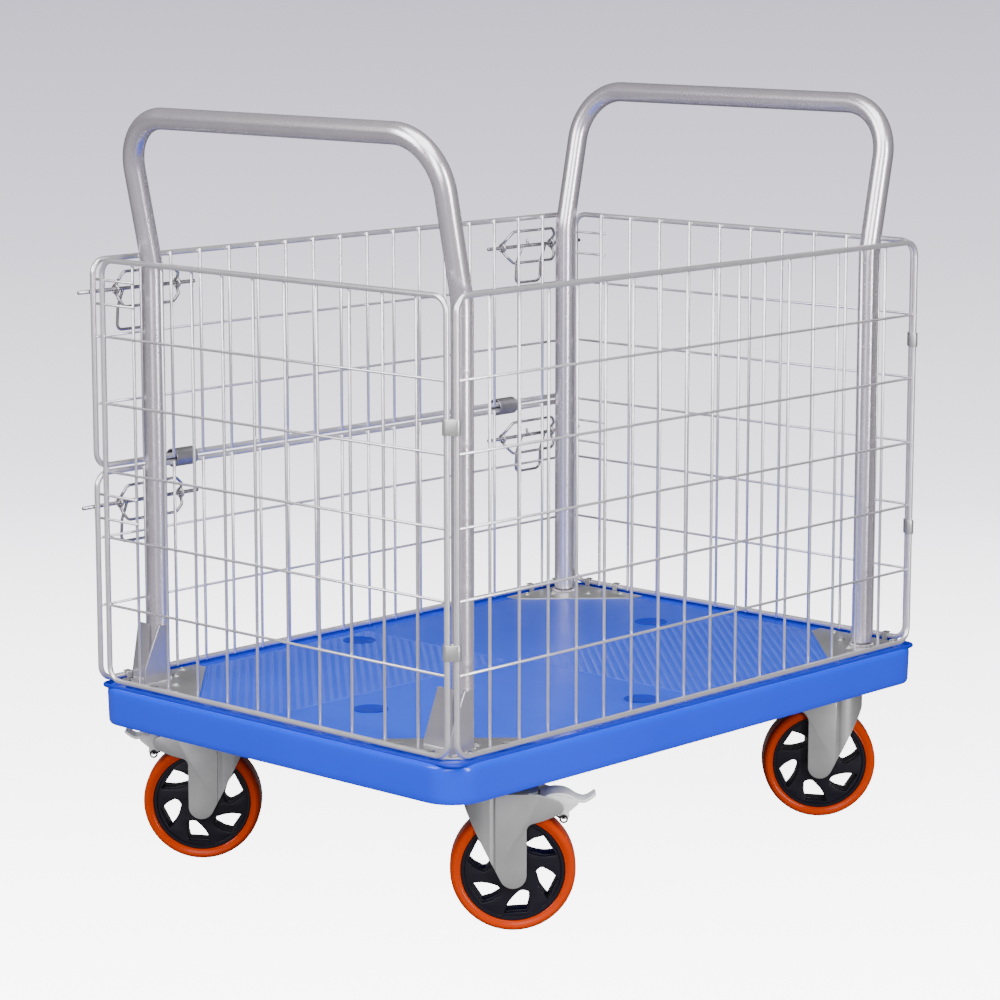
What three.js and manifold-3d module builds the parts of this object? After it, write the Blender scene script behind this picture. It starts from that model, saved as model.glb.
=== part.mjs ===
// Platform cart: a moulded deck on four swivel casters, with two fixed push handles and a wire
// cage whose right side opens as a two-leaf drop gate.
// Millimetres, +Z up. The origin is on the ground under the middle of the deck. X runs along the
// cart, -X is the front (the braked end), and +Y is the right side (the gate side).
import * as THREE from 'three';
import { mergeVertices } from 'three/addons/utils/BufferGeometryUtils.js';
import Module from 'manifold-3d';

const wasm = await Module();
wasm.setup();

// ---------------------------------------------------------------- driving dimensions
const GAP = 0.3;                 // clearance between pieces that touch
const deck = {
  length: 900, width: 628, top: 236, underside: 188, cornerRadius: 45, edge: 8,
  skin: 6, pocketsAlong: 9, pocketsAcross: 7, rib: 8.4, rim: 8,
  padLength: 690, padWidth: 430, padHeight: 1, padRadius: 25,
};
const cage = {
  halfLength: 438, halfWidth: 302, bottom: 243, top: 771,
  frameWire: 7, meshWire: 3.1, frameRadius: 18,
  verticalOffset: 4.6, horizontalOffset: 1.4,
  sideCount: 16, sidePitch: 49.6, endCount: 10, endPitch: 53.8,
  rows: [338, 424, 507.5, 592.5, 676],
};
const gate = { halfLength: 446, lowerTop: 504.5, upperBottom: 513.5, hingeX: 301, hingeY: 306.5 };
const sleeve = { outer: 23.6, bore: 20.6, length: 35 };
const latch = {
  boltZ: { upper: 731, lower: 462 }, boltY: 309.5, boltDiameter: 5, tip: 464, tail: 272,
  bowWire: 4, bowY: 301.3, bowInner: 302, bowOuter: 403, bowHalfHeight: 22, eyeRadius: 5,
  bailInner: 343, bailOuter: 391, bailDrop: 53, bailLean: 12, bailWire: 4,
  keeperReach: 318, keeperHalf: 15,
};
const handle = {
  tube: 27, postX: 382, postY: 264, bendZ: 760, leanDegrees: 12, topZ: 947,
  bendRadius: 90, cornerRadius: 68,
};
const plate = {
  leg: 135, thickness: 2.4, edgeX: 440, edgeY: 304, clip: 8,
  hooksX: [350, 404], hooksY: [212, 264], screws: [[326, 284], [357, 262], [390, 224], [420, 190]],
};
const gusset = {
  height: 73, thickness: 3.5, base: 39, top: 14, endHeight: 20,
  side: [{ sy: -1, base: 48, top: 24 }, { sy: 1, base: 34, top: 20 }],
};
const wheel = {
  radius: 75, rim: 62, rimInside: 57, tread: 45, coreWidth: 38, webWidth: 34, hubRadius: 15,
  windows: 6, windowTurn: -75,
  // The corners of one window, as radius and degrees from the window's own direction.
  windowCorners: [
    [54.5, -26], [54.5, 3.5], [35.7, 19.9], [29.4, 13.8],
    [27.8, 2.9], [32.8, -12.3], [39.2, -20.9], [48.1, -24.5],
  ],
};
const caster = {
  frontX: 303, rearX: 394, y: 226, trail: 32, plateLength: 105, plateWidth: 85, plateThickness: 4,
  raceTop: 184, crownZ: 166, crownThickness: 4, headRadius: 29,
  kingpinDiameter: 12, axleDiameter: 10, legInside: 26.5, legThickness: 3,
};
const pedal = { pivotX: 40, pivotZ: 159, rollerX: 60, rollerZ: 141, halfWidth: 20 };
// At rest the casters stand turned this way, or half a turn on.
const casterYaw = Math.atan2(-0.732, 0.681);

// ---------------------------------------------------------------- colours
const finish = (color, roughness, metalness) =>
  new THREE.MeshStandardMaterial({ color, roughness, metalness });
const bluePlastic = finish(0x3f74dc, 0.35, 0);
const silverPaint = finish(0xc3c0cb, 0.35, 0.55);
const wireZinc = finish(0xc6c4c8, 0.35, 0.8);
const zincSteel = finish(0xaeb0ad, 0.4, 0.85);
const blackNylon = finish(0x16161c, 0.45, 0);
const orangeTyre = finish(0xf0560a, 0.4, 0);

// ---------------------------------------------------------------- solid helpers
function solidOf(geometry) {
  const plain = geometry.clone();
  plain.deleteAttribute('normal');
  plain.deleteAttribute('uv');
  const merged = mergeVertices(plain, 1e-4);
  return new wasm.Manifold(new wasm.Mesh({
    numProp: 3,
    vertProperties: new Float32Array(merged.attributes.position.array),
    triVerts: new Uint32Array(merged.index.array),
  }));
}
function geometryOf(solid) {
  const mesh = solid.getMesh();
  const geometry = new THREE.BufferGeometry();
  const positions = new Float32Array(mesh.vertProperties);
  geometry.setAttribute('position', new THREE.BufferAttribute(positions, 3));
  geometry.setIndex(new THREE.BufferAttribute(new Uint32Array(mesh.triVerts), 1));
  geometry.computeVertexNormals();
  return geometry;
}
const join = (...pieces) => geometryOf(pieces.map(solidOf).reduce((sum, next) => sum.add(next)));
const cut = (body, ...tools) =>
  geometryOf(tools.map(solidOf).reduce((rest, tool) => rest.subtract(tool), solidOf(body)));
const common = (a, b) => geometryOf(solidOf(a).intersect(solidOf(b)));

const group = new THREE.Group();
function add(name, geometry, material, parent = group) {
  const mesh = new THREE.Mesh(geometry, material);
  mesh.name = name;
  parent.add(mesh);
  return mesh;
}
const V2 = (x, y) => new THREE.Vector2(x, y);
const V3 = (x, y, z) => new THREE.Vector3(x, y, z);

const box = (x0, x1, y0, y1, z0, z1) =>
  new THREE.BoxGeometry(x1 - x0, y1 - y0, z1 - z0).translate((x0 + x1) / 2, (y0 + y1) / 2, (z0 + z1) / 2);

// A cylinder along Z, X or Y, centred on the origin; the flats of its sides touch the radius.
function rod(radius, length, sides, axis = 'z') {
  const geometry = new THREE.CylinderGeometry(radius, radius, length, sides);
  if (axis === 'z') return geometry.rotateX(Math.PI / 2);
  return axis === 'x' ? geometry.rotateZ(Math.PI / 2) : geometry;
}
function extrude(outline, depth, segments = 2) {
  return new THREE.ExtrudeGeometry(outline, { depth, bevelEnabled: false, curveSegments: segments });
}
// An outline drawn in X and Z, extruded from y0 to y1.
const extrudeXZ = (outline, y0, y1, segments) =>
  extrude(outline, y1 - y0, segments).rotateX(Math.PI / 2).translate(0, y1, 0);
// An outline drawn in Y and Z, extruded from x0 to x1.
const extrudeYZ = (outline, x0, x1, segments) =>
  extrude(outline, x1 - x0, segments).rotateX(Math.PI / 2).rotateZ(Math.PI / 2).translate(x0, 0, 0);

function roundedRectangle(halfX, halfY, radius, centreX = 0, centreY = 0) {
  const shape = new THREE.Shape();
  const x = halfX - radius;
  const y = halfY - radius;
  shape.absarc(centreX + x, centreY + y, radius, 0, Math.PI / 2);
  shape.absarc(centreX - x, centreY + y, radius, Math.PI / 2, Math.PI);
  shape.absarc(centreX - x, centreY - y, radius, Math.PI, 1.5 * Math.PI);
  shape.absarc(centreX + x, centreY - y, radius, 1.5 * Math.PI, 2 * Math.PI);
  shape.closePath();
  return shape;
}

// A round bar swept along points: one ring of vertices at each point, in the plane that halves the
// bend there. The rings turn with the path, and a closed path joins its last ring to its first.
function bar(points, radius, sides, closed = false, firstSide = V3(0, 0, 1)) {
  const count = points.length;
  const along = (a, b) => points[(b + count) % count].clone().sub(points[(a + count) % count]).normalize();
  const positions = [];
  let side = null;
  for (let i = 0; i < count; i += 1) {
    const before = closed || i > 0 ? along(i - 1, i) : along(0, 1);
    const after = closed || i < count - 1 ? along(i, i + 1) : before;
    const tangent = before.clone().add(after).normalize();
    side = (side ?? firstSide).clone();
    side.addScaledVector(tangent, -side.dot(tangent)).normalize();
    const other = tangent.clone().cross(side);
    for (let k = 0; k < sides; k += 1) {
      const turn = ((k + 0.5) / sides) * 2 * Math.PI;
      const reach = radius / Math.cos(Math.PI / sides);
      positions.push(points[i].clone()
        .addScaledVector(side, reach * Math.cos(turn))
        .addScaledVector(other, reach * Math.sin(turn)));
    }
  }
  const faces = [];
  const spans = closed ? count : count - 1;
  for (let i = 0; i < spans; i += 1) {
    for (let k = 0; k < sides; k += 1) {
      const a = i * sides + k;
      const b = i * sides + ((k + 1) % sides);
      const c = ((i + 1) % count) * sides + k;
      const d = ((i + 1) % count) * sides + ((k + 1) % sides);
      faces.push(a, b, d, a, d, c);
    }
  }
  if (!closed) {
    const last = (count - 1) * sides;
    for (let k = 1; k < sides - 1; k += 1) {
      faces.push(0, k + 1, k);
      faces.push(last, last + k, last + k + 1);
    }
  }
  const geometry = new THREE.BufferGeometry();
  const flat = positions.flatMap((p) => [p.x, p.y, p.z]);
  geometry.setAttribute('position', new THREE.Float32BufferAttribute(flat, 3));
  geometry.setIndex(faces);
  return geometry;
}

// The points of a path of straight runs whose corners are rounded to the given radii.
function roundedPath(corners, radii, steps, closed = false) {
  const points = [];
  const count = corners.length;
  corners.forEach((corner, i) => {
    if (!closed && (i === 0 || i === count - 1)) {
      points.push(corner.clone());
      return;
    }
    const back = corners[(i - 1 + count) % count].clone().sub(corner).normalize();
    const ahead = corners[(i + 1) % count].clone().sub(corner).normalize();
    const half = back.angleTo(ahead) / 2;
    const radius = Array.isArray(radii) ? radii[i] : radii;
    const inwards = back.clone().add(ahead).normalize();
    const centre = corner.clone().addScaledVector(inwards, radius / Math.sin(half));
    const start = corner.clone().addScaledVector(back, radius / Math.tan(half)).sub(centre);
    const end = corner.clone().addScaledVector(ahead, radius / Math.tan(half)).sub(centre);
    const sweep = start.angleTo(end);
    for (let s = 0; s <= steps; s += 1) {
      const t = s / steps;
      const mix = start.clone().multiplyScalar(Math.sin((1 - t) * sweep))
        .addScaledVector(end, Math.sin(t * sweep)).divideScalar(Math.sin(sweep));
      points.push(centre.clone().add(mix));
    }
  });
  return points;
}

// ---------------------------------------------------------------- deck
function makeDeck() {
  const halfX = deck.length / 2 - deck.edge;
  const halfY = deck.width / 2 - deck.edge;
  const height = deck.top - deck.underside;
  const slab = new THREE.ExtrudeGeometry(roundedRectangle(halfX, halfY, deck.cornerRadius - deck.edge), {
    depth: height - 2 * deck.edge, curveSegments: 2,
    bevelEnabled: true, bevelThickness: deck.edge, bevelSize: deck.edge, bevelSegments: 2,
  }).translate(0, 0, deck.underside + deck.edge);
  const padOutline = roundedRectangle(deck.padLength / 2, deck.padWidth / 2, deck.padRadius);
  const pad = extrude(padOutline, 4 + deck.padHeight).translate(0, 0, deck.top - 4);
  const pitchX = (deck.length - 2 * deck.rim) / deck.pocketsAlong;
  const pitchY = (deck.width - 2 * deck.rim) / deck.pocketsAcross;
  const pockets = [];
  for (let column = 0; column < deck.pocketsAlong; column += 1) {
    for (let row = 0; row < deck.pocketsAcross; row += 1) {
      const x = (column - (deck.pocketsAlong - 1) / 2) * pitchX;
      const y = (row - (deck.pocketsAcross - 1) / 2) * pitchY;
      const overCaster = Math.abs(y) > 1.5 * pitchY && (x < -2.5 * pitchX || x > 3.5 * pitchX);
      if (overCaster) continue;
      const halfPocketX = (pitchX - deck.rib) / 2;
      const halfPocketY = (pitchY - deck.rib) / 2;
      pockets.push(box(x - halfPocketX, x + halfPocketX, y - halfPocketY, y + halfPocketY,
        deck.underside - 1, deck.top - deck.skin));
    }
  }
  return cut(join(slab, pad), ...pockets);
}
add('deck', makeDeck(), bluePlastic);

// ---------------------------------------------------------------- base plates, handles, gussets
const corners = [
  { name: 'front_left', sx: -1, sy: -1 }, { name: 'front_right', sx: -1, sy: 1 },
  { name: 'rear_left', sx: 1, sy: -1 }, { name: 'rear_right', sx: 1, sy: 1 },
];
const plateBottom = deck.top + GAP;
const plateTop = plateBottom + plate.thickness;

// A hook that grips a bottom rail from inside: a leg beside the rail and a lip over it. It is drawn
// across the rail at distance d from the centre of the cart, and is 8 mm wide along the rail.
function hookOutline(rail) {
  const inner = rail - cage.frameWire / 2 - 0.9;
  const top = cage.bottom + cage.frameWire / 2 + 0.9;
  const points = [
    [inner - 1.6, plateTop - 1], [inner, plateTop - 1], [inner, top],
    [rail + 1.5, top], [rail + 1.5, top + 1.6], [inner - 1.6, top + 1.6],
  ];
  return new THREE.Shape(points.map(([d, z]) => V2(d, z)));
}
function makeBasePlate(sx, sy) {
  const { edgeX, edgeY, leg, clip } = plate;
  const outline = new THREE.Shape([
    V2(edgeX - clip, edgeY), V2(edgeX - leg, edgeY), V2(edgeX - leg, edgeY - clip),
    V2(edgeX - clip, edgeY - leg), V2(edgeX, edgeY - leg), V2(edgeX, edgeY - clip),
  ]);
  const pieces = [extrude(outline, plateTop - plateBottom).translate(0, 0, plateBottom)];
  for (const x of plate.hooksX) {
    pieces.push(extrudeYZ(hookOutline(cage.halfWidth), x - 4, x + 4));
  }
  for (const y of plate.hooksY) {
    pieces.push(extrudeXZ(hookOutline(cage.halfLength), y - 4, y + 4));
  }
  for (const [x, y] of plate.screws) {
    pieces.push(rod(4.5, 4, 6).translate(x, y, plateTop));
  }
  const solid = join(...pieces);
  const flips = new THREE.Matrix4().makeScale(sx, sy, 1);
  solid.applyMatrix4(flips);
  if (sx * sy < 0) turnFacesOut(solid);
  return solid;
}
// After a mirror the triangles wind the wrong way, so two corners of each change places.
function turnFacesOut(geometry) {
  const index = geometry.index.array;
  for (let i = 0; i < index.length; i += 3) {
    [index[i], index[i + 1]] = [index[i + 1], index[i]];
  }
}
for (const { name, sx, sy } of corners) {
  add(`base_plate_${name}`, makeBasePlate(sx, sy), zincSteel);
}

// The tube leans outwards above the cage, by sx, and its foot stands just above the base plates.
function makeHandle(sx) {
  const lean = THREE.MathUtils.degToRad(handle.leanDegrees);
  const rise = handle.topZ - handle.bendZ;
  const topX = sx * (handle.postX + rise * Math.tan(lean));
  const footZ = plateTop + GAP;
  const path = roundedPath([
    V3(sx * handle.postX, -handle.postY, footZ), V3(sx * handle.postX, -handle.postY, handle.bendZ),
    V3(topX, -handle.postY, handle.topZ), V3(topX, handle.postY, handle.topZ),
    V3(sx * handle.postX, handle.postY, handle.bendZ), V3(sx * handle.postX, handle.postY, footZ),
  ], [0, handle.bendRadius, handle.cornerRadius, handle.cornerRadius, handle.bendRadius, 0], 3);
  return bar(path, handle.tube / 2 - 0.6, 10, false, V3(1, 0, 0));
}
add('push_handle_front', makeHandle(-1), silverPaint);
add('push_handle_rear', makeHandle(1), silverPaint);

const gussetFoot = plateTop + GAP;
const gussetReach = handle.tube / 2 + GAP;     // from the post's axis to the near face of a gusset
function endGussetOutline(sx) {
  const x = sx * handle.postX;
  const { base, top, height, endHeight } = gusset;
  return new THREE.Shape([
    V2(x, gussetFoot), V2(x + sx * base, gussetFoot), V2(x + sx * base, gussetFoot + endHeight),
    V2(x + sx * top, gussetFoot + height), V2(x, gussetFoot + height),
  ]);
}
function makeEndGusset(sx, sy, face) {
  const near = sy * handle.postY + face * gussetReach;
  const far = near + face * gusset.thickness;
  return extrudeXZ(endGussetOutline(sx), Math.min(near, far), Math.max(near, far));
}
function makeSideGusset(sx, { sy, base, top }) {
  const y = sy * handle.postY;
  const outline = new THREE.Shape([
    V2(y, gussetFoot), V2(y + base, gussetFoot), V2(y + base, gussetFoot + 3),
    V2(y + top, gussetFoot + gusset.height), V2(y, gussetFoot + gusset.height),
  ]);
  const near = sx * (handle.postX + gussetReach);
  const far = near + sx * gusset.thickness;
  return extrudeYZ(outline, Math.min(near, far), Math.max(near, far));
}
for (const { name, sx, sy } of corners) {
  add(`end_gusset_${name}`, makeEndGusset(sx, sy, sx), silverPaint);
}
add('side_gusset_front_left', makeSideGusset(-1, gusset.side[0]), silverPaint);
add('side_gusset_front_right', makeSideGusset(-1, gusset.side[1]), silverPaint);

// ---------------------------------------------------------------- wire panels
// A panel is drawn flat: u runs along the panel, z is up and w points into the cart. place() turns
// (u, w, z) into the cart's own X, Y and Z. The upright wires lap the rails on the inside, the level
// wires end in the frame's uprights, and the two sets pass each other 0.1 mm apart.
function frameLoop(place, u0, u1, z0, z1) {
  const loop = roundedPath([place(u0, 0, z0), place(u1, 0, z0), place(u1, 0, z1), place(u0, 0, z1)],
    cage.frameRadius, 3, true);
  return bar(loop, cage.frameWire / 2, 6, true, place(0, 1, 0).sub(place(0, 0, 0)));
}
function straightWire(place, from, to) {
  const across = place(0, 1, 0).sub(place(0, 0, 0));
  return bar([place(...from), place(...to)], cage.meshWire / 2, 4, false, across);
}
function wirePanel({ place, u0, u1, z0, z1, columns, rows }) {
  const pieces = [frameLoop(place, u0, u1, z0, z1)];
  const inside = cage.verticalOffset;
  const over = 2.2;                                   // how far a wire laps past a rail's axis
  for (const u of columns) {
    pieces.push(straightWire(place, [u, inside, z0 - over], [u, inside, z1 + over]));
  }
  for (const z of rows) {
    pieces.push(straightWire(place, [u0, cage.horizontalOffset, z], [u1, cage.horizontalOffset, z]));
  }
  return pieces;
}
const spread = (count, pitch) => Array.from({ length: count }, (_, i) => (i - (count - 1) / 2) * pitch);
const along = (sy, y) => (u, w, z) => V3(u, sy * (y - w), z);
const across = (sx, x) => (u, w, z) => V3(sx * (x - w), u, z);

add('side_panel', join(...wirePanel({
  place: along(-1, cage.halfWidth), u0: 7 - cage.halfLength, u1: cage.halfLength - 7,
  z0: cage.bottom, z1: cage.top, columns: spread(cage.sideCount, cage.sidePitch), rows: cage.rows,
})), wireZinc);

// The end panels carry the keepers: a closed loop of wire at each bolt, which reaches out past the
// gate so that the bolt slides in behind its outer leg.
function keeper(sx, boltZ) {
  const wire = cage.meshWire / 2;
  const inner = cage.endPitch * (cage.endCount - 1) / 2 - 5;
  const x = sx * (cage.halfLength - cage.horizontalOffset);
  const { keeperReach, keeperHalf } = latch;
  const path = roundedPath([
    V3(x, inner, boltZ - keeperHalf), V3(x, keeperReach - wire, boltZ - keeperHalf),
    V3(x, keeperReach - wire, boltZ + keeperHalf), V3(x, inner, boltZ + keeperHalf),
  ], [0, 4, 4, 0], 2);
  return bar(path, wire, 4, false, V3(1, 0, 0));
}
for (const [name, sx] of [['front', -1], ['rear', 1]]) {
  const pieces = wirePanel({
    place: across(sx, cage.halfLength), u0: 9 - cage.halfWidth, u1: cage.halfWidth - 8,
    z0: cage.bottom, z1: cage.top, columns: spread(cage.endCount, cage.endPitch), rows: cage.rows,
  });
  for (const boltZ of Object.values(latch.boltZ)) pieces.push(keeper(sx, boltZ));
  add(`end_panel_${name}`, join(...pieces), wireZinc);
}

// A band of sheet metal round the two frame wires that meet at a left-hand corner.
function makeCornerClip(sx, z) {
  const wall = 1.2;
  const room = (cage.frameWire / 2 / Math.cos(Math.PI / 6) + GAP) / Math.cos(Math.PI / 8);
  const endWire = V2(sx * cage.halfLength, 9 - cage.halfWidth);
  const sideWire = V2(sx * (cage.halfLength - 7), -cage.halfWidth);
  const lean = Math.atan2(sideWire.y - endWire.y, sideWire.x - endWire.x);
  const half = endWire.distanceTo(sideWire) / 2;
  const slot = (radius) => {
    const path = new THREE.Shape();
    path.absarc(half, 0, radius, -Math.PI / 2, Math.PI / 2);
    path.absarc(-half, 0, radius, Math.PI / 2, 1.5 * Math.PI);
    path.closePath();
    return path;
  };
  const outline = slot(room + wall);
  outline.holes.push(slot(room));
  return extrude(outline, 18, 2).translate(0, 0, -9).rotateZ(lean)
    .translate((endWire.x + sideWire.x) / 2, (endWire.y + sideWire.y) / 2, z);
}
for (const [name, sx, high, low] of [['front', -1, 624, 366], ['rear', 1, 643, 395]]) {
  add(`corner_clip_${name}_upper`, makeCornerClip(sx, high), zincSteel);
  add(`corner_clip_${name}_lower`, makeCornerClip(sx, low), zincSteel);
}

// ---------------------------------------------------------------- drop gate
const gatePlace = along(1, cage.halfWidth);
function gateLeaf(z0, z1) {
  const rows = cage.rows.filter((z) => z > z0 + 10 && z < z1 - 10);
  return join(...wirePanel({
    place: gatePlace, u0: -gate.halfLength, u1: gate.halfLength, z0, z1,
    columns: spread(cage.sideCount, cage.sidePitch), rows,
  }));
}
add('lower_gate', gateLeaf(cage.bottom, gate.lowerTop), wireZinc);
add('upper_gate', gateLeaf(gate.upperBottom, cage.top), wireZinc);

// A short tube round both middle rods; the leaves turn inside it.
function makeSleeve(x) {
  const hingeZ = (gate.lowerTop + gate.upperBottom) / 2;
  const outline = new THREE.Shape();
  outline.absarc(0, 0, sleeve.outer / 2, 0, 2 * Math.PI);
  const bore = new THREE.Path();
  bore.absarc(0, 0, sleeve.bore / 2 / Math.cos(Math.PI / 16), 0, 2 * Math.PI);
  outline.holes.push(bore);
  return extrude(outline, sleeve.length, 8).translate(0, 0, -sleeve.length / 2)
    .rotateY(Math.PI / 2).translate(x, gate.hingeY, hingeZ);
}
add('hinge_sleeve_front', makeSleeve(-gate.hingeX), zincSteel);
add('hinge_sleeve_rear', makeSleeve(gate.hingeX), zincSteel);

// ---------------------------------------------------------------- latches
// The bow is a loop of wire beside the gate with an eye at each end that guides the bolt.
function makeBow(sx, boltZ) {
  const { bowY, bowInner, bowOuter, bowHalfHeight: h, bowWire, boltY, eyeRadius } = latch;
  const at = (x, y, z) => V3(sx * x, y, boltZ + z);
  const half = (up) => {
    const inner = at(bowInner, boltY, up * eyeRadius);
    const outer = at(bowOuter, boltY, up * eyeRadius);
    const path = roundedPath([
      inner, at(bowInner + 3, bowY + 2, up * (eyeRadius + 8)), at(bowInner + 14, bowY, up * h),
      at(bowOuter - 6, bowY, up * h), at(bowOuter, bowY + 2, up * (eyeRadius + 8)), outer,
    ], [0, 4, 8, 8, 4, 0], 1);
    return bar(path, bowWire / 2 - 0.2, 4, false, V3(0, 1, 0));
  };
  const eye = (x) => new THREE.TorusGeometry(eyeRadius, bowWire / 2 - 0.2, 4, 8)
    .rotateY(Math.PI / 2).translate(sx * x, boltY, boltZ);
  return join(eye(bowInner), half(1), half(-1), eye(bowOuter));
}
// The bolt and its finger bail are one bent and welded piece, which slides along the gate.
function makeBolt(sx, boltZ) {
  const { boltY, boltDiameter, tip, tail, bailInner, bailOuter, bailDrop, bailLean, bailWire } = latch;
  const shaft = rod(boltDiameter / 2, tip - tail, 8, 'x').translate(sx * (tip + tail) / 2, boltY, boltZ);
  const at = (x, lean, drop) => V3(sx * x, boltY + lean * bailLean, boltZ - drop * bailDrop);
  const path = roundedPath([
    at(bailInner, 0, 0), at(bailInner - 1, 0.8, 0.45), at(bailInner - 1, 1, 1),
    at(bailOuter + 1, 1, 1), at(bailOuter + 1, 0.8, 0.45), at(bailOuter, 0, 0),
  ], [0, 12, 8, 8, 12, 0], 1);
  return join(shaft, bar(path, bailWire / 2, 5, false, V3(0, 1, 0)));
}
for (const [end, sx] of [['front', -1], ['rear', 1]]) {
  for (const [level, boltZ] of Object.entries(latch.boltZ)) {
    add(`latch_bow_${level}_${end}`, makeBow(sx, boltZ), wireZinc);
    add(`latch_bolt_${level}_${end}`, makeBolt(sx, boltZ), wireZinc);
  }
}

// ---------------------------------------------------------------- casters
// Each caster is drawn with its kingpin on the Z axis and its wheel trailing towards +X.
const axleZ = wheel.radius;
const axleAt = (geometry) => geometry.translate(caster.trail, 0, axleZ);

function makeMountPlate() {
  const { plateLength, plateWidth, plateThickness, raceTop, headRadius } = caster;
  const top = deck.underside - GAP;
  const flat = extrude(roundedRectangle(plateWidth / 2, plateLength / 2, 8), plateThickness, 1)
    .translate(0, 0, top - plateThickness);
  const pieces = [flat, rod(headRadius, 8, 12).translate(0, 0, raceTop - 3)];
  for (const [x, y] of [[-1, -1], [-1, 1], [1, -1], [1, 1]]) {
    pieces.push(rod(6, 6, 6).translate(x * (plateWidth / 2 - 11), y * (plateLength / 2 - 11), raceTop - 2));
  }
  return cut(join(...pieces), rod(caster.kingpinDiameter / 2 + 0.7, 40, 8).translate(0, 0, raceTop));
}
function makeKingpin() {
  const { kingpinDiameter, crownZ } = caster;
  const head = rod(9, 7, 6).translate(0, 0, crownZ - 4.2);
  const top = deck.underside - 2;
  const shank = rod(kingpinDiameter / 2, top - crownZ + 6, 8).translate(0, 0, (top + crownZ - 6) / 2);
  return join(shank, head);
}
// The side view of a fork leg: a rounded foot round the axle, an upright rear edge and a slanted
// front edge. Where there is a brake, an arm runs back over the wheel.
function legOutline(hasBrake) {
  const foot = 16.3;
  const slant = THREE.MathUtils.degToRad(26.6);
  const top = caster.crownZ + caster.crownThickness - axleZ;
  const tangent = V2(-foot * Math.cos(slant), -4 - foot * Math.sin(slant));
  const reach = 58;
  const slantTop = tangent.y + (reach + tangent.x) / Math.tan(slant);
  const shape = new THREE.Shape();
  shape.moveTo(-reach, top);
  shape.lineTo(-reach, slantTop);
  shape.lineTo(tangent.x, tangent.y);
  shape.absarc(0, -4, foot, Math.PI + slant, 2 * Math.PI);
  if (hasBrake) {
    shape.lineTo(foot, 50);
    shape.quadraticCurveTo(foot, 58, 25, 60);
    shape.lineTo(54, 70);
    shape.quadraticCurveTo(62, 74, 60, 81);
    shape.quadraticCurveTo(58, 88, 50, 88);
    shape.lineTo(34, top);
  } else {
    shape.lineTo(foot, 58);
    shape.quadraticCurveTo(foot, 72, 32, 76);
    shape.lineTo(34, top);
  }
  shape.closePath();
  return shape;
}
// Seen from above the fork is a U: two legs that bend round in front of the kingpin.
function forkPlan() {
  const outer = caster.legInside + caster.legThickness;
  const bend = -58 + outer;
  const shape = new THREE.Shape();
  shape.moveTo(70, -outer);
  shape.lineTo(70, -caster.legInside);
  shape.lineTo(bend, -caster.legInside);
  shape.absarc(bend, 0, caster.legInside, 1.5 * Math.PI, Math.PI / 2, true);
  shape.lineTo(70, caster.legInside);
  shape.lineTo(70, outer);
  shape.lineTo(bend, outer);
  shape.absarc(bend, 0, outer, Math.PI / 2, 1.5 * Math.PI);
  shape.closePath();
  return shape;
}
function makeFork(hasBrake) {
  const { crownZ, crownThickness, headRadius, kingpinDiameter, axleDiameter, raceTop, legInside } = caster;
  const side = extrudeXZ(legOutline(hasBrake), -40, 40, 3);
  const walls = extrude(forkPlan(), 130, 3).translate(0, 0, -24);
  const wheelRoom = rod(wheel.radius + 3, 2 * legInside - 4, 20, 'y');
  const legs = axleAt(cut(common(walls, side), wheelRoom, rod(axleDiameter / 2 + 0.6, 80, 10, 'y')));
  const crown = extrude(roundedRectangle(44, legInside + 1, 20, 18), crownThickness, 2)
    .translate(0, 0, crownZ);
  const raceBottom = crownZ + crownThickness;
  const raceHeight = raceTop - 7 - GAP - raceBottom;
  const race = rod(headRadius - 2, raceHeight + 1, 12).translate(0, 0, raceBottom + raceHeight / 2 - 0.5);
  return cut(join(legs, crown, race), rod(kingpinDiameter / 2 + 0.7, 60, 8).translate(0, 0, crownZ));
}

// One window of the wheel: a straight side, a curved side, a narrow inner end and a wide outer one.
function windowOutline(turn) {
  const point = (r, degrees) => {
    const angle = turn + THREE.MathUtils.degToRad(degrees);
    return V2(r * Math.cos(angle), r * Math.sin(angle));
  };
  return new THREE.Path(wheel.windowCorners.map(([r, degrees]) => point(r, degrees)));
}
function makeCore() {
  const disc = new THREE.Shape();
  disc.absarc(0, 0, wheel.rimInside + 2, 0, 2 * Math.PI);
  for (let i = 0; i < wheel.windows; i += 1) {
    const degrees = wheel.windowTurn + (i * 360) / wheel.windows;
    disc.holes.push(windowOutline(THREE.MathUtils.degToRad(degrees)));
  }
  const web = extrude(disc, wheel.webWidth, 10).translate(0, 0, -wheel.webWidth / 2).rotateX(Math.PI / 2);
  const half = wheel.coreWidth / 2;
  const inside = wheel.rimInside;
  const outside = wheel.rim - 0.2;
  const ring = [[inside, -half], [outside, -half], [outside, half], [inside, half], [inside, -half]];
  const rimBand = new THREE.LatheGeometry(ring.map(([r, y]) => V2(r, y)), 20);
  const hub = rod(wheel.hubRadius, 2 * caster.legInside - 4, 8, 'y');
  return axleAt(cut(join(web, rimBand, hub), rod(caster.axleDiameter / 2 + 0.9, 80, 8, 'y')));
}
function makeTyre() {
  const half = wheel.tread / 2;
  const inside = wheel.rim + 0.6;
  const profile = [
    [inside, -half + 2], [wheel.radius - 6, -half], [wheel.radius, -half + 6],
    [wheel.radius, half - 6], [wheel.radius - 6, half], [inside, half - 2], [inside, -half + 2],
  ];
  return axleAt(new THREE.LatheGeometry(profile.map(([r, y]) => V2(r, y)), 24));
}
// The axle is a plain pin; its ends stand just inside the outer faces of the legs.
function makeAxle() {
  const halfLength = caster.legInside + caster.legThickness - GAP;
  return axleAt(rod(caster.axleDiameter / 2, 2 * halfLength, 8, 'y'));
}
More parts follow.
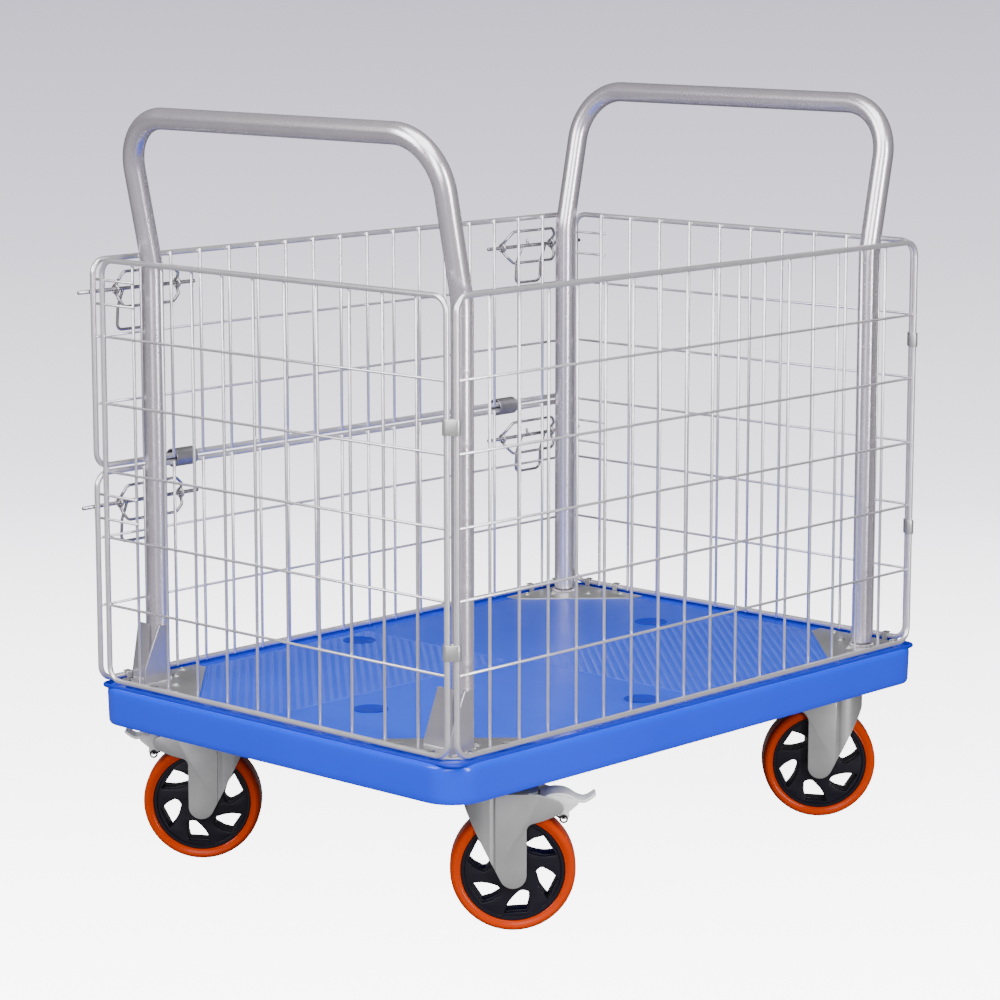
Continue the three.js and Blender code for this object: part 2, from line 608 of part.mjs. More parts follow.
// The pedal: a pressed strip that dips and rises to a toe, on two cheeks that carry the brake bar.
function makePedal() {
  const { halfWidth, pivotX, pivotZ, rollerX, rollerZ } = pedal;
  const x = (fromAxle) => caster.trail + fromAxle;
  const line = [[34, 162], [46, 167], [62, 166], [80, 158.5], [88, 158.5], [99, 166]];
  const upper = line.map(([a, z]) => V2(x(a), z + 1.3));
  const lower = line.map(([a, z]) => V2(x(a), z - 1.3)).reverse();
  const strip = extrudeXZ(new THREE.Shape([...upper, ...lower]), -halfWidth, halfWidth);
  const cheek = new THREE.Shape([
    V2(x(pivotX - 7), pivotZ - 5), V2(x(rollerX - 6), rollerZ), V2(x(rollerX + 2), rollerZ - 5),
    V2(x(rollerX + 7), rollerZ + 4), V2(x(78), 155.5), V2(x(80), 158.5),
    V2(x(62), 166), V2(x(46), 167), V2(x(34), 162),
  ]);
  const cheekThickness = 2.5;
  const cheeks = [-halfWidth, halfWidth - cheekThickness]
    .map((y) => extrudeXZ(cheek, y, y + cheekThickness));
  const brakeBar = rod(5, 2 * halfWidth, 8, 'y').translate(x(rollerX), 0, rollerZ);
  const pin = rod(3.2, 2 * caster.legInside - 1, 8, 'y').translate(x(pivotX), 0, pivotZ);
  return join(strip, ...cheeks, brakeBar, pin);
}
const casters = [
  { name: 'front_left', x: -caster.frontX, y: -caster.y, yaw: casterYaw, brake: true },
  { name: 'front_right', x: -caster.frontX, y: caster.y, yaw: casterYaw + Math.PI, brake: true },
  { name: 'rear_left', x: caster.rearX, y: -caster.y, yaw: casterYaw + Math.PI, brake: false },
  { name: 'rear_right', x: caster.rearX, y: caster.y, yaw: casterYaw + Math.PI, brake: false },
];
for (const { name, x, y, yaw, brake } of casters) {
  const fixed = new THREE.Group();
  fixed.position.set(x, y, 0);
  add(`mount_plate_${name}`, makeMountPlate(), zincSteel, fixed);
  add(`kingpin_${name}`, makeKingpin(), zincSteel, fixed);
  const swivel = new THREE.Group();
  swivel.position.set(x, y, 0);
  swivel.rotation.z = yaw;
  add(`fork_${name}`, makeFork(brake), zincSteel, swivel);
  add(`axle_${name}`, makeAxle(), zincSteel, swivel);
  add(`wheel_core_${name}`, makeCore(), blackNylon, swivel);
  add(`tyre_${name}`, makeTyre(), orangeTyre, swivel);
  if (brake) add(`brake_pedal_${name}`, makePedal(), zincSteel, swivel);
  group.add(fixed, swivel);
}

export default group;
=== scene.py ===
"""The looks of the platform cart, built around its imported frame.

Pieces are drawn in millimetres, in the cart's own frame: +Z up, -X the braked front end, +Y the
gate side. piece() scales them to metres and says what each one stands for.
"""

import math

import bmesh
import bpy
from mathutils import Matrix, Vector


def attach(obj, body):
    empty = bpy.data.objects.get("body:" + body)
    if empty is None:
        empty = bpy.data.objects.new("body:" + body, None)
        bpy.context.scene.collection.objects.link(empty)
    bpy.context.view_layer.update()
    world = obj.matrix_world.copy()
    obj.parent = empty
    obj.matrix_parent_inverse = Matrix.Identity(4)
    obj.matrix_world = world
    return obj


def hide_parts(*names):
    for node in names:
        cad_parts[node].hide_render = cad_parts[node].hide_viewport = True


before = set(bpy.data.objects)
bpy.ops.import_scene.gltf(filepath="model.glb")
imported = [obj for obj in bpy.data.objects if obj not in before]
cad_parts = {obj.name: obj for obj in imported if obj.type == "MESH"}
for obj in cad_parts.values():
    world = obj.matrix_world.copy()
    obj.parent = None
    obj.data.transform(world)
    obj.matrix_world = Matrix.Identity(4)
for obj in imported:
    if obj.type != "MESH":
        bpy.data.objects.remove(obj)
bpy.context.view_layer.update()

# ------------------------------------------------------------------ driving dimensions (mm)
DECK = dict(half_x=450.0, half_y=314.0, top=236.0, underside=188.0, corner=45.0, edge=8.0, skin=6.0)
PAD = dict(half_x=422.0, half_y=286.0, height=0.8, cut=133.0)
CAGE = dict(half_x=438.0, half_y=302.0, bottom=243.0, top=771.0, frame_radius=18.0)
FRAME_WIRE = 3.5                     # radii of the wires
UPRIGHT_WIRE = 1.95
LEVEL_WIRE = 1.65
UPRIGHT_INSIDE = 4.6                 # how far inside the frame wire each set of mesh wires runs
LEVEL_INSIDE = 1.5
ROWS = (338.0, 424.0, 507.5, 592.5, 676.0)
SIDE_COUNT, SIDE_PITCH = 16, 49.6
END_COUNT, END_PITCH = 10, 53.8
GATE = dict(half=446.0, lower_top=504.5, upper_bottom=513.5, hinge_x=301.0, hinge_y=306.5)
SLEEVE = dict(outer=11.8, bore=10.3, length=35.0)
BOLT_Z = {"upper": 731.0, "lower": 462.0}
BOLT = dict(y=309.5, radius=2.5, tip=464.0, tail=272.0, bail_in=343.0, bail_out=391.0, drop=53.0, lean=12.0)
BOW = dict(y=301.3, inner=302.0, outer=403.0, half=22.0, eye=5.0, radius=2.0)
KEEPER = dict(reach=318.0, half=15.0)
HANDLE = dict(radius=13.5, post_x=382.0, post_y=264.0, bend_z=760.0, lean=12.0, top_z=947.0)
HANDLE_BEND, HANDLE_CORNER = 90.0, 68.0
PLATE = dict(edge_x=430.0, edge_y=294.0, leg=135.0, clip=20.0, bottom=236.3, top=238.7)
HOOKS_X = (350.0, 404.0)
HOOKS_Y = (212.0, 264.0)
SCREWS = ((326, 284), (357, 262), (390, 224), (420, 190))
GUSSET = dict(height=73.0, thickness=3.5, base=39.0, top=14.0, end_height=20.0)
SIDE_GUSSETS = {-1: (48.0, 24.0), 1: (34.0, 20.0)}
WHEEL = dict(radius=75.0, rim=62.0, rim_inside=57.0, half_tread=22.5, half_core=19.0, half_web=17.0)
WINDOW_TURN = -75.0
WINDOW = ((54.5, -26), (54.5, 3.5), (45.5, 11), (35.7, 18.6), (32.5, 18.4), (29.6, 14), (27.9, 8),
          (27.8, 2), (30, -6), (33, -12.5), (36, -17), (39.5, -20.8), (44, -23.3), (48.5, -24.9))
CASTERS = {
    "front_left": (-303.0, -226.0, 0.0, True), "front_right": (-303.0, 226.0, math.pi, True),
    "rear_left": (394.0, -226.0, math.pi, False), "rear_right": (394.0, 226.0, math.pi, False),
}
CASTER_YAW = math.atan2(-0.732, 0.681)
TRAIL, AXLE_Z = 32.0, 75.0
LEG_INSIDE, LEG_THICKNESS = 26.5, 3.0
CROWN_Z, CROWN_THICKNESS, RACE_TOP = 166.0, 4.0, 184.0
FOOT_RADIUS, FOOT_Z = 16.3, -4.0     # a leg's round foot, and its centre's height from the axle
SLANT = 26.6                         # degrees that a leg's front edge leans from upright
MOUNT = dict(half_x=42.5, half_y=52.5, bolt_x=31.5, bolt_y=41.5, thickness=4.0)
CASTER_BLOCK = (62.0, 72.0)          # half sizes of the solid block over each caster
DECK_MARGIN = 8.0                    # what is inside the deck's skirt keeps this far from its outside
UNDER_RIBS = (9, 7)                  # bays between the ribs under the deck, lengthways and across
PANEL_SHORT = dict(side=7.0, end_left=9.0, end_right=8.0)  # how far panels stop short of the cage's corners
POST_FOOT = PLATE["top"] + 0.3       # where posts and gussets start, just above the base plates
PLUGS = ((-45.0, -247.0), (-45.0, 247.0), (-310.0, -40.0), (310.0, 40.0))
CLIP_HEIGHTS = {"front": (624.0, 366.0), "rear": (643.0, 395.0)}

CORNERS = {"front_left": (-1, -1), "front_right": (-1, 1), "rear_left": (1, -1), "rear_right": (1, 1)}
ENDS = {"front": -1, "rear": 1}


# ------------------------------------------------------------------ materials
def tint(color, factor):
    return tuple(min(1.0, c * factor) for c in color[:3]) + (1.0,)


def surface(name, color, metallic, roughness, mottle=0.06, mottle_scale=18.0, grain=0.03,
            grain_scale=900.0, specular=0.5, gloss_change=0.02):
    """A finish made of three noises: slow mottling of the colour, finer changes of gloss, and grain."""
    material = bpy.data.materials.new(name)
    material.use_nodes = True
    nodes, links = material.node_tree.nodes, material.node_tree.links
    shader = nodes["Principled BSDF"]
    place = nodes.new("ShaderNodeTexCoord")

    def noise(scale, detail):
        node = nodes.new("ShaderNodeTexNoise")
        node.inputs["Scale"].default_value = scale
        node.inputs["Detail"].default_value = detail
        links.new(place.outputs["Object"], node.inputs["Vector"])
        return node

    slow = noise(mottle_scale, 4.0)
    ramp = nodes.new("ShaderNodeValToRGB")
    ramp.color_ramp.elements[0].position = 0.3
    ramp.color_ramp.elements[1].position = 0.7
    ramp.color_ramp.elements[0].color = tint(color, 1 - mottle)
    ramp.color_ramp.elements[1].color = tint(color, 1 + mottle)
    links.new(slow.outputs["Fac"], ramp.inputs["Fac"])
    links.new(ramp.outputs["Color"], shader.inputs["Base Color"])

    medium = noise(mottle_scale * 6, 3.0)
    gloss = nodes.new("ShaderNodeMapRange")
    gloss.inputs["To Min"].default_value = max(0.02, roughness - gloss_change)
    gloss.inputs["To Max"].default_value = roughness + gloss_change
    links.new(medium.outputs["Fac"], gloss.inputs["Value"])
    links.new(gloss.outputs["Result"], shader.inputs["Roughness"])

    fine = noise(grain_scale, 2.0)
    bump = nodes.new("ShaderNodeBump")
    bump.inputs["Strength"].default_value = grain
    bump.inputs["Distance"].default_value = 0.001
    links.new(fine.outputs["Fac"], bump.inputs["Height"])
    links.new(bump.outputs["Normal"], shader.inputs["Normal"])
    shader.inputs["Metallic"].default_value = metallic
    shader.inputs["Specular IOR Level"].default_value = specular
    return material


BLUE = surface("blue plastic", (0.004, 0.044, 0.80), 0.0, 0.17, 0.05, 5.0, 0.008, 700.0, specular=0.35)
# The pad's plastic: rougher and grainier than the deck's, and its greyer blue is a painted reflection of the
# pale surroundings on the top
TREAD_BLUE_PAINTED_REFLECTION = surface("blue plastic tread, greyed as painted reflection", (0.020, 0.072, 0.66), 0.0, 0.34, 0.05, 5.0, 0.02,
                   700.0, specular=0.3)
# The grip ribs and their borders are the deck's plastic; their paler, greyer blue is a painted highlight
# along them
BLUE_RIB_HIGHLIGHT = surface("blue plastic ribs, paled as painted highlight", (0.046, 0.100, 0.68), 0.0, 0.38, 0.06, 12.0, 0.03, specular=0.3)
# Dark blue plastic: the plugs' own colour, and on the bead round the deck under the bottom rails a painted
# shadow
DARK_BLUE_AND_SHADOW = surface("dark blue plastic, plugs and painted rail shadow", (0.003, 0.020, 0.42), 0.0, 0.36, 0.05, 20.0, 0.03, specular=0.2)
SILVER = surface("silver paint", (0.70, 0.655, 0.715), 0.78, 0.27, 0.04, 30.0, 0.0, gloss_change=0.01)
# The gussets carry the posts' silver paint; this copy's darker colour is painted shade on their faces
SHADED_PLATE_SILVER = surface("silver paint on plate, darkened as painted shade", (0.52, 0.50, 0.54), 0.72, 0.3, 0.05, 30.0, 0.01, 1500.0)
WIRE = surface("bright zinc wire", (0.78, 0.75, 0.79), 0.72, 0.28, 0.05, 40.0, 0.0, gloss_change=0.01)
LATCH = surface("dull zinc wire", (0.46, 0.44, 0.46), 0.8, 0.25, 0.1, 60.0, 0.01)
ZINC = surface("zinc steel", (0.52, 0.52, 0.51), 0.78, 0.33, 0.05, 45.0, 0.01, 1800.0)
# The pedals are the forks' zinc steel; this copy is paler and less metallic, painted light against the deck's
# shadow over them
LIT_PEDAL_ZINC = surface("zinc steel pedal, lightened as painted light", (0.80, 0.80, 0.79), 0.1, 0.4, 0.06, 45.0, 0.02, 1800.0)
SLEEVE_STEEL = surface("turned steel", (0.30, 0.29, 0.31), 0.7, 0.32, 0.1, 60.0, 0.02)
WELD = surface("weld metal", (0.42, 0.40, 0.44), 0.7, 0.42, 0.2, 150.0, 0.2, 600.0)
BLACK = surface("black nylon", (0.006, 0.005, 0.010), 0.0, 0.34, 0.15, 30.0, 0.04, 1200.0, specular=0.3)
ORANGE = surface("orange polyurethane", (0.47, 0.034, 0.0001), 0.0, 0.2, 0.04, 25.0, 0.01, specular=0.1)
DARK_STEEL = surface("black oxide steel", (0.012, 0.012, 0.014), 0.5, 0.4, 0.2, 60.0, 0.05)


# ------------------------------------------------------------------ shapes
def V(x, y, z):
    return Vector((x, y, z))


def piece(name, bm, material, body, nodes=(), sharp=35.0, turn=None):
    """Makes an object in metres from a drawing in millimetres, after an optional turn into place."""
    bmesh.ops.remove_doubles(bm, verts=bm.verts, dist=0.002)
    bmesh.ops.recalc_face_normals(bm, faces=bm.faces)
    if turn is not None:
        bm.transform(turn)
    bm.transform(Matrix.Scale(0.001, 4))
    mesh = bpy.data.meshes.new(name)
    bm.to_mesh(mesh)
    bm.free()
    mesh.materials.append(material)
    mesh.shade_smooth()
    mesh.set_sharp_from_angle(angle=math.radians(sharp))
    obj = bpy.data.objects.new(f"{name}_fine" if nodes else name, mesh)
    bpy.context.scene.collection.objects.link(obj)
    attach(obj, body)
    if nodes:
        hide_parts(*nodes)
    return obj


def rounded_path(corners, radii, steps=8, closed=False):
    """Points of a path of straight runs with rounded corners."""
    if not isinstance(radii, (list, tuple)):
        radii = [radii] * len(corners)
    points = []
    count = len(corners)
    for i, corner in enumerate(corners):
        if (not closed and i in (0, count - 1)) or radii[i] <= 0:
            points.append(corner.copy())
            continue
        back = (corners[i - 1] - corner).normalized()
        ahead = (corners[(i + 1) % count] - corner).normalized()
        half = back.angle(ahead) / 2
        centre = corner + (back + ahead).normalized() * (radii[i] / math.sin(half))
        start = corner + back * (radii[i] / math.tan(half)) - centre
        end = corner + ahead * (radii[i] / math.tan(half)) - centre
        sweep_angle = start.angle(end)
        for s in range(steps + 1):
            t = s / steps
            mix = start * math.sin((1 - t) * sweep_angle) + end * math.sin(t * sweep_angle)
            points.append(centre + mix / math.sin(sweep_angle))
    return points


def smooth_path(points, steps=6, closed=False):
    """A curve through all the points."""
    count = len(points)
    result = []
    for i in range(count if closed else count - 1):
        p0 = points[(i - 1) % count] if closed or i > 0 else points[i]
        p1, p2 = points[i], points[(i + 1) % count]
        p3 = points[(i + 2) % count] if closed or i < count - 2 else p2
        for s in range(steps):
            t = s / steps
            result.append(0.5 * (2 * p1 + (p2 - p0) * t + (2 * p0 - 5 * p1 + 4 * p2 - p3) * t * t
                                 + (3 * p1 - p0 - 3 * p2 + p3) * t ** 3))
    if not closed:
        result.append(points[-1].copy())
    return result


def add_rings(bm, rings, closed_along=False, caps=True):
    """Skins a row of rings that all have the same number of points."""
    made = [[bm.verts.new(p) for p in ring] for ring in rings]
    spans = len(made) if closed_along else len(made) - 1
    for i in range(spans):
        a, b = made[i], made[(i + 1) % len(made)]
        for k in range(len(a)):
            m = (k + 1) % len(a)
            bm.faces.new((a[k], a[m], b[m], b[k]))
    if caps and not closed_along:
        bm.faces.new(list(reversed(made[0])))
        bm.faces.new(made[-1])


def bar(bm, points, radius, sides=12, closed=False, side=None):
    """A round bar along points; its ends are slightly chamfered. radius may be a list."""
    points = list(points)
    radii = list(radius) if isinstance(radius, (list, tuple)) else [radius] * len(points)
    if not closed:
        chamfer = 0.35 * min(radii[0], radii[-1])
        start = points[0] + (points[1] - points[0]).normalized() * chamfer
        end = points[-1] + (points[-2] - points[-1]).normalized() * chamfer
        points = [points[0], start] + points[1:-1] + [end, points[-1]]
        radii = [radii[0] - chamfer, radii[0]] + radii[1:-1] + [radii[-1], radii[-1] - chamfer]
    count = len(points)
    side = side or V(0.3, 0.2, 1)
    rings = []
    for i, point in enumerate(points):
        before = point - points[i - 1] if closed or i else points[1] - point
        after = points[(i + 1) % count] - point if closed or i < count - 1 else point - points[i - 1]
        tangent = (before.normalized() + after.normalized()).normalized()
        side = (side - tangent * side.dot(tangent)).normalized()
        other = tangent.cross(side)
        ring = []
        for k in range(sides):
            angle = 2 * math.pi * k / sides
            ring.append(point + side * (radii[i] * math.cos(angle)) + other * (radii[i] * math.sin(angle)))
        rings.append(ring)
    add_rings(bm, rings, closed_along=closed)


def lathe(bm, profile, axis=V(0, 0, 1), centre=V(0, 0, 0), steps=48, closed=True):
    """Turns a profile of (radius, distance along the axis) round the axis."""
    across = axis.orthogonal().normalized()
    other = axis.cross(across)
    rings = []
    for s in range(steps):
        angle = 2 * math.pi * s / steps
        out = across * math.cos(angle) + other * math.sin(angle)
        rings.append([centre + out * r + axis * h for r, h in profile])
    made = [[bm.verts.new(p) for p in ring] for ring in rings]
    for i in range(steps):
        a, b = made[i], made[(i + 1) % steps]
        for k in range(len(profile) if closed else len(profile) - 1):
            m = (k + 1) % len(profile)
            bm.faces.new((a[k], a[m], b[m], b[k]))


def plate(bm, outlines, thickness, bevel, place):
    """A flat plate with bevelled edges from closed outlines in X and Y; inner outlines are holes.
    The plate is centred on z = 0 before place, a matrix, puts it where it belongs."""
    curve = bpy.data.curves.new("outline", "CURVE")
    curve.dimensions = "2D"
    curve.fill_mode = "BOTH"
    curve.extrude = thickness / 2 - bevel
    curve.bevel_depth = bevel
    curve.bevel_resolution = 2
    curve.offset = -bevel
    for outline in outlines:
        spline = curve.splines.new("POLY")
        spline.points.add(len(outline) - 1)
        for point, (x, y) in zip(spline.points, outline):
            point.co = (x, y, 0, 1)
        spline.use_cyclic_u = True
    holder = bpy.data.objects.new("outline", curve)
    bpy.context.scene.collection.objects.link(holder)
    mesh = bpy.data.meshes.new_from_object(holder.evaluated_get(bpy.context.evaluated_depsgraph_get()))
    mesh.transform(place)
    bm.from_mesh(mesh)
    bpy.data.objects.remove(holder)
    bpy.data.curves.remove(curve)
    bpy.data.meshes.remove(mesh)


def lying(x=0.0, y=0.0, z=0.0):
    return Matrix.Translation((x, y, z))


def standing_along_x(y):
    """An outline drawn in (x, z), on the plane at y."""
    return Matrix(((1, 0, 0, 0), (0, 0, -1, y), (0, 1, 0, 0), (0, 0, 0, 1)))


def standing_along_y(x):
    """An outline drawn in (y, z), on the plane at x."""
    return Matrix(((0, 0, 1, x), (1, 0, 0, 0), (0, 1, 0, 0), (0, 0, 0, 1)))


def arc(cx, cy, radius, start, end, steps=8):
    angles = [math.radians(start + (end - start) * s / steps) for s in range(steps + 1)]
    return [(cx + radius * math.cos(a), cy + radius * math.sin(a)) for a in angles]


def rounded_rectangle(half_x, half_y, radius, steps=8):
    x, y = half_x - radius, half_y - radius
    return (arc(x, y, radius, 0, 90, steps) + arc(-x, y, radius, 90, 180, steps)
            + arc(-x, -y, radius, 180, 270, steps) + arc(x, -y, radius, 270, 360, steps))


def dome(bm, x, y, z, radius, height, sides=16):
    """A screw head: a low dome with a small recess."""
    profile = [(0.02, height * 0.55), (radius * 0.28, height * 0.55), (radius * 0.34, height * 0.98),
               (radius * 0.6, height * 0.9), (radius * 0.85, height * 0.6), (radius, 0.2), (radius, 0),
               (0.02, 0)]
    lathe(bm, profile, V(0, 0, 1), V(x, y, z), sides)


def weld(bm, points, radius, ripple=0.28, pitch=2.6, sides=8):
    """A weld bead: a bar whose thickness ripples along its length."""
    dense = []
    for a, b in zip(points, points[1:]):
        steps = max(1, int((b - a).length / (pitch / 4)))
        dense += [a.lerp(b, s / steps) for s in range(steps)]
    dense.append(points[-1])
    radii = []
    run = 0.0
    for i, p in enumerate(dense):
        if i:
            run += (p - dense[i - 1]).length
        radii.append(radius * (1 + ripple * math.sin(2 * math.pi * run / pitch)))
    bar(bm, dense, radii, sides)


def flipped(sx, sy):
    """Mirrors a drawing of the +X +Y corner into another corner."""
    return Matrix.Diagonal((sx, sy, 1, 1))


# ------------------------------------------------------------------ deck
def deck_ring(inset, z):
    radius = max(DECK["corner"] - inset, 6.0)
    outline = rounded_rectangle(DECK["half_x"] - inset, DECK["half_y"] - inset, radius, 12)
    return [V(x, y, z) for x, y in outline]


def make_deck():
    top, low, edge = DECK["top"], DECK["underside"], DECK["edge"]
    bm = bmesh.new()
    rings = [deck_ring(7.0, low + 6), deck_ring(6.0, low + 1.0), deck_ring(4.5, low),
             deck_ring(2.5, low + 0.5), deck_ring(1.2, low + 3), deck_ring(0.9, low + 8)]
    rings += [deck_ring(0.3, top - 18), deck_ring(0.0, top - edge - 1)]
    for step in range(1, 9):
        angle = math.pi / 2 * step / 8
        rings.append(deck_ring(edge * (1 - math.cos(angle)), top - edge + edge * math.sin(angle)))
    rings.append(deck_ring(edge + 2, top))
    rings = [deck_ring(9.0, top - DECK["skin"])] + rings
    add_rings(bm, rings)
    inside_x, inside_y = DECK["half_x"] - DECK_MARGIN, DECK["half_y"] - DECK_MARGIN
    bays_x, bays_y = UNDER_RIBS
    wall = 2.0
    for i in range(1, bays_x):
        x = -inside_x + i * (2 * inside_x / bays_x)
        add_block(bm, x - wall, x + wall, -inside_y, inside_y, low + 1, top - 5)
    for j in range(1, bays_y):
        y = -inside_y + j * (2 * inside_y / bays_y)
        add_block(bm, -inside_x, inside_x, y - wall, y + wall, low + 1, top - 5)
    block_x, block_y = CASTER_BLOCK
    for x, y, _, _ in CASTERS.values():
        outline = rounded_rectangle(min(block_x, inside_x - abs(x)), block_y, 10, 4)
        plate(bm, [outline], top - 5 - low - 0.4, 1.0, lying(x, y, (top - 5 + low + 0.4) / 2))
    piece("deck", bm, BLUE, "chassis", ["deck"], 40)

    bm = bmesh.new()
    x, y, cut = PAD["half_x"], PAD["half_y"], PAD["cut"]
    outline = [(x, y - cut), (x - cut, y), (cut - x, y), (-x, y - cut),
               (-x, cut - y), (cut - x, -y), (x - cut, -y), (x, cut - y)]
    plate(bm, [outline], 2.4, 0.6, lying(0, 0, top + PAD["height"] - 1.2))
    piece("deck_pad", bm, TREAD_BLUE_PAINTED_REFLECTION, "chassis", (), 30)

    bm = bmesh.new()
    # A bead round the deck just outside and below the bottom rails: it closes the gap under them, and its
    # dark blue is painted shadow beneath the rails
    bead_radius, below, beside, corner = 2.7, 0.4, 5.0, 14.0
    outline = rounded_rectangle(CAGE["half_x"] + beside, CAGE["half_y"] + beside, corner, 6)
    bar(bm, [V(x, y, top - below) for x, y in outline], bead_radius, 12, True)
    piece("painted_rail_shadow_bead", bm, DARK_BLUE_AND_SHADOW, "chassis", (), 40)


def add_block(bm, x0, x1, y0, y1, z0, z1):
    rings = [[V(x0, y0, z), V(x1, y0, z), V(x1, y1, z), V(x0, y1, z)] for z in (z0, z1)]
    add_rings(bm, rings)


def make_grip_ribs():
    """Two quarters of the pad carry low slanting ribs, and a border runs round each of the two."""
    top = DECK["top"] + PAD["height"]
    along = V(0.6816, 0.7317, 0)
    across = V(-along.y, along.x, 0)
    pitch, width, rise, shortest = 10.5, 5.2, 0.4, 12.0
    side, end, corner = PAD["half_y"] - 9, PAD["half_x"] - 11, PAD["half_x"] + PAD["half_y"] - PAD["cut"] - 13
    section = ((-width / 2, -0.3), (width / 2, -0.3), (width / 2, 0.1), (width / 2 - 0.6, rise),
               (0.6 - width / 2, rise), (-width / 2, 0.1))
    bm = bmesh.new()
    for s, middle_x, middle_y in ((-1, 2.0, 24.0), (1, 18.0, 8.0)):
        # the quarter: x on side s from middle_x, y on the other side from middle_y, its corner cut off
        limits = ((V(s, 0, 0), end), (V(-s, 0, 0), -s * middle_x), (V(0, -s, 0), side),
                  (V(0, s, 0), s * middle_y), (V(s, -s, 0), corner))
        for k in range(-30, 31):
            origin = V(s * end / 2, -s * side / 2, top) + across * (pitch * k)
            low, high = -900.0, 900.0
            for normal, limit in limits:
                slope = along.dot(normal)
                reach = (limit - origin.dot(normal)) / slope
                if slope > 0:
                    high = min(high, reach)
                else:
                    low = max(low, reach)
            if high - low > shortest:
                add_rings(bm, [[origin + along * t + across * w + V(0, 0, h) for w, h in section]
                               for t in (low, high)])
        z = top - 0.6
        loop = [V(middle_x, middle_y, z), V(s * end, middle_y, z), V(s * end, -s * (corner - end), z),
                V(s * (corner - side), -s * side, z), V(middle_x, -s * side, z)]
        bar(bm, rounded_path(loop, 10, 5, True), 1.1, 8, True)
    piece("grip_ribs", bm, BLUE_RIB_HIGHLIGHT, "chassis", (), 50)

    bm = bmesh.new()
    for x, y in PLUGS:
        z = DECK["top"] + PAD["height"] + 0.4
        lathe(bm, [(0.02, 0.05), (18.0, 0.1), (19.6, 0.45), (21.2, 0.5), (22.2, 0.0), (0.02, -0.6)],
              V(0, 0, 1), V(x, y, z), 40)
    piece("deck_plugs", bm, DARK_BLUE_AND_SHADOW, "chassis", (), 25)


# ------------------------------------------------------------------ base plates, handles, gussets
def make_base_plate(name, sx, sy):
    bm = bmesh.new()
    edge_x, edge_y, leg, clip = PLATE["edge_x"], PLATE["edge_y"], PLATE["leg"], PLATE["clip"]
    outline = [(edge_x - clip, edge_y), (edge_x - leg, edge_y), (edge_x - leg, edge_y - clip),
               (edge_x - clip, edge_y - leg), (edge_x, edge_y - leg), (edge_x, edge_y - clip)]
    middle = (PLATE["bottom"] + PLATE["top"]) / 2
    plate(bm, [outline], PLATE["top"] - PLATE["bottom"], 0.7, lying(z=middle))
    rail_top = CAGE["bottom"] + FRAME_WIRE
    for x in HOOKS_X:
        add_hook(bm, V(x, CAGE["half_y"], 0), V(0, 1, 0), rail_top)
    for y in HOOKS_Y:
        add_hook(bm, V(CAGE["half_x"], y, 0), V(1, 0, 0), rail_top)
    for x, y in SCREWS:
        dome(bm, x, y, PLATE["top"] - 0.2, 5.0, 2.2)
        lathe(bm, [(4.8, 0.5), (6.4, 0.3), (6.6, -0.3), (4.8, -0.3)], V(0, 0, 1), V(x, y, PLATE["top"]), 20)
    piece(f"base_plate_{name}", bm, ZINC, "chassis", [f"base_plate_{name}"], 30, flipped(sx, sy))


def add_hook(bm, rail, outwards, rail_top):
    """A strip that climbs beside the rail and bends over it."""
    half_width, half_thickness = 4.0, 0.8
    beside, above = FRAME_WIRE + 1.7, rail_top + 1.4
    path = rounded_path([
        rail - outwards * beside + V(0, 0, PLATE["top"] - 0.5),
        rail - outwards * beside + V(0, 0, above),
        rail + outwards * 1.8 + V(0, 0, above),
    ], [0, 2.2, 0], 5)
    wide = V(0, 0, 1).cross(outwards) * half_width
    rings = []
    for i, point in enumerate(path):
        a, b = path[max(0, i - 1)], path[min(len(path) - 1, i + 1)]
        normal = (b - a).normalized().cross(wide).normalized() * half_thickness
        rings.append([point - wide - normal, point + wide - normal,
                      point + wide + normal, point - wide + normal])
    add_rings(bm, rings)


def make_handle(name, sx):
    lean = math.radians(HANDLE["lean"])
    x, y = sx * HANDLE["post_x"], HANDLE["post_y"]
    top_x = sx * (HANDLE["post_x"] + (HANDLE["top_z"] - HANDLE["bend_z"]) * math.tan(lean))
    foot = POST_FOOT
    path = rounded_path([
        V(x, -y, foot), V(x, -y, HANDLE["bend_z"]), V(top_x, -y, HANDLE["top_z"]),
        V(top_x, y, HANDLE["top_z"]), V(x, y, HANDLE["bend_z"]), V(x, y, foot),
    ], [0, HANDLE_BEND, HANDLE_CORNER, HANDLE_CORNER, HANDLE_BEND, 0], 14)
    bm = bmesh.new()
    bar(bm, path, HANDLE["radius"] - 0.15, 32, side=V(1, 0, 0))
    piece(f"push_handle_{name}", bm, SILVER, "chassis", [f"push_handle_{name}"], 40)
    bm = bmesh.new()
    for sy in (-1, 1):
        ring = [V(px, py, foot + 0.6) for px, py in arc(x, sy * y, HANDLE["radius"] + 0.9, 0, 350, 60)]
        weld(bm, ring, 2.0)
    piece(f"foot_weld_{name}", bm, WELD, "chassis", (), 60)


def make_end_gusset(name, sx, sy):
    foot = POST_FOOT
    x = sx * HANDLE["post_x"]
    g = GUSSET
    outline = [(x, foot), (x + sx * g["base"], foot), (x + sx * g["base"], foot + g["end_height"]),
               (x + sx * g["top"], foot + g["height"]), (x, foot + g["height"])]
    y = sy * HANDLE["post_y"] + sx * (HANDLE["radius"] + 0.3 + g["thickness"] / 2)
    bm = bmesh.new()
    plate(bm, [outline], g["thickness"], 0.6, standing_along_x(y))
    piece(f"end_gusset_{name}", bm, SHADED_PLATE_SILVER, "chassis", [f"end_gusset_{name}"], 30)
    bm = bmesh.new()
    near = sy * HANDLE["post_y"] + sx * (HANDLE["radius"] + 0.1)
    weld(bm, [V(x + sx * 5.0, near, foot + 3), V(x + sx * 5.0, near, foot + g["height"] - 3)], 1.8)
    far = y + sx * g["thickness"] / 2
    weld(bm, [V(x + sx * 2, far, foot + 0.4), V(x + sx * (g["base"] - 3), far, foot + 0.4)], 1.5)
    piece(f"end_gusset_weld_{name}", bm, WELD, "chassis", (), 60)


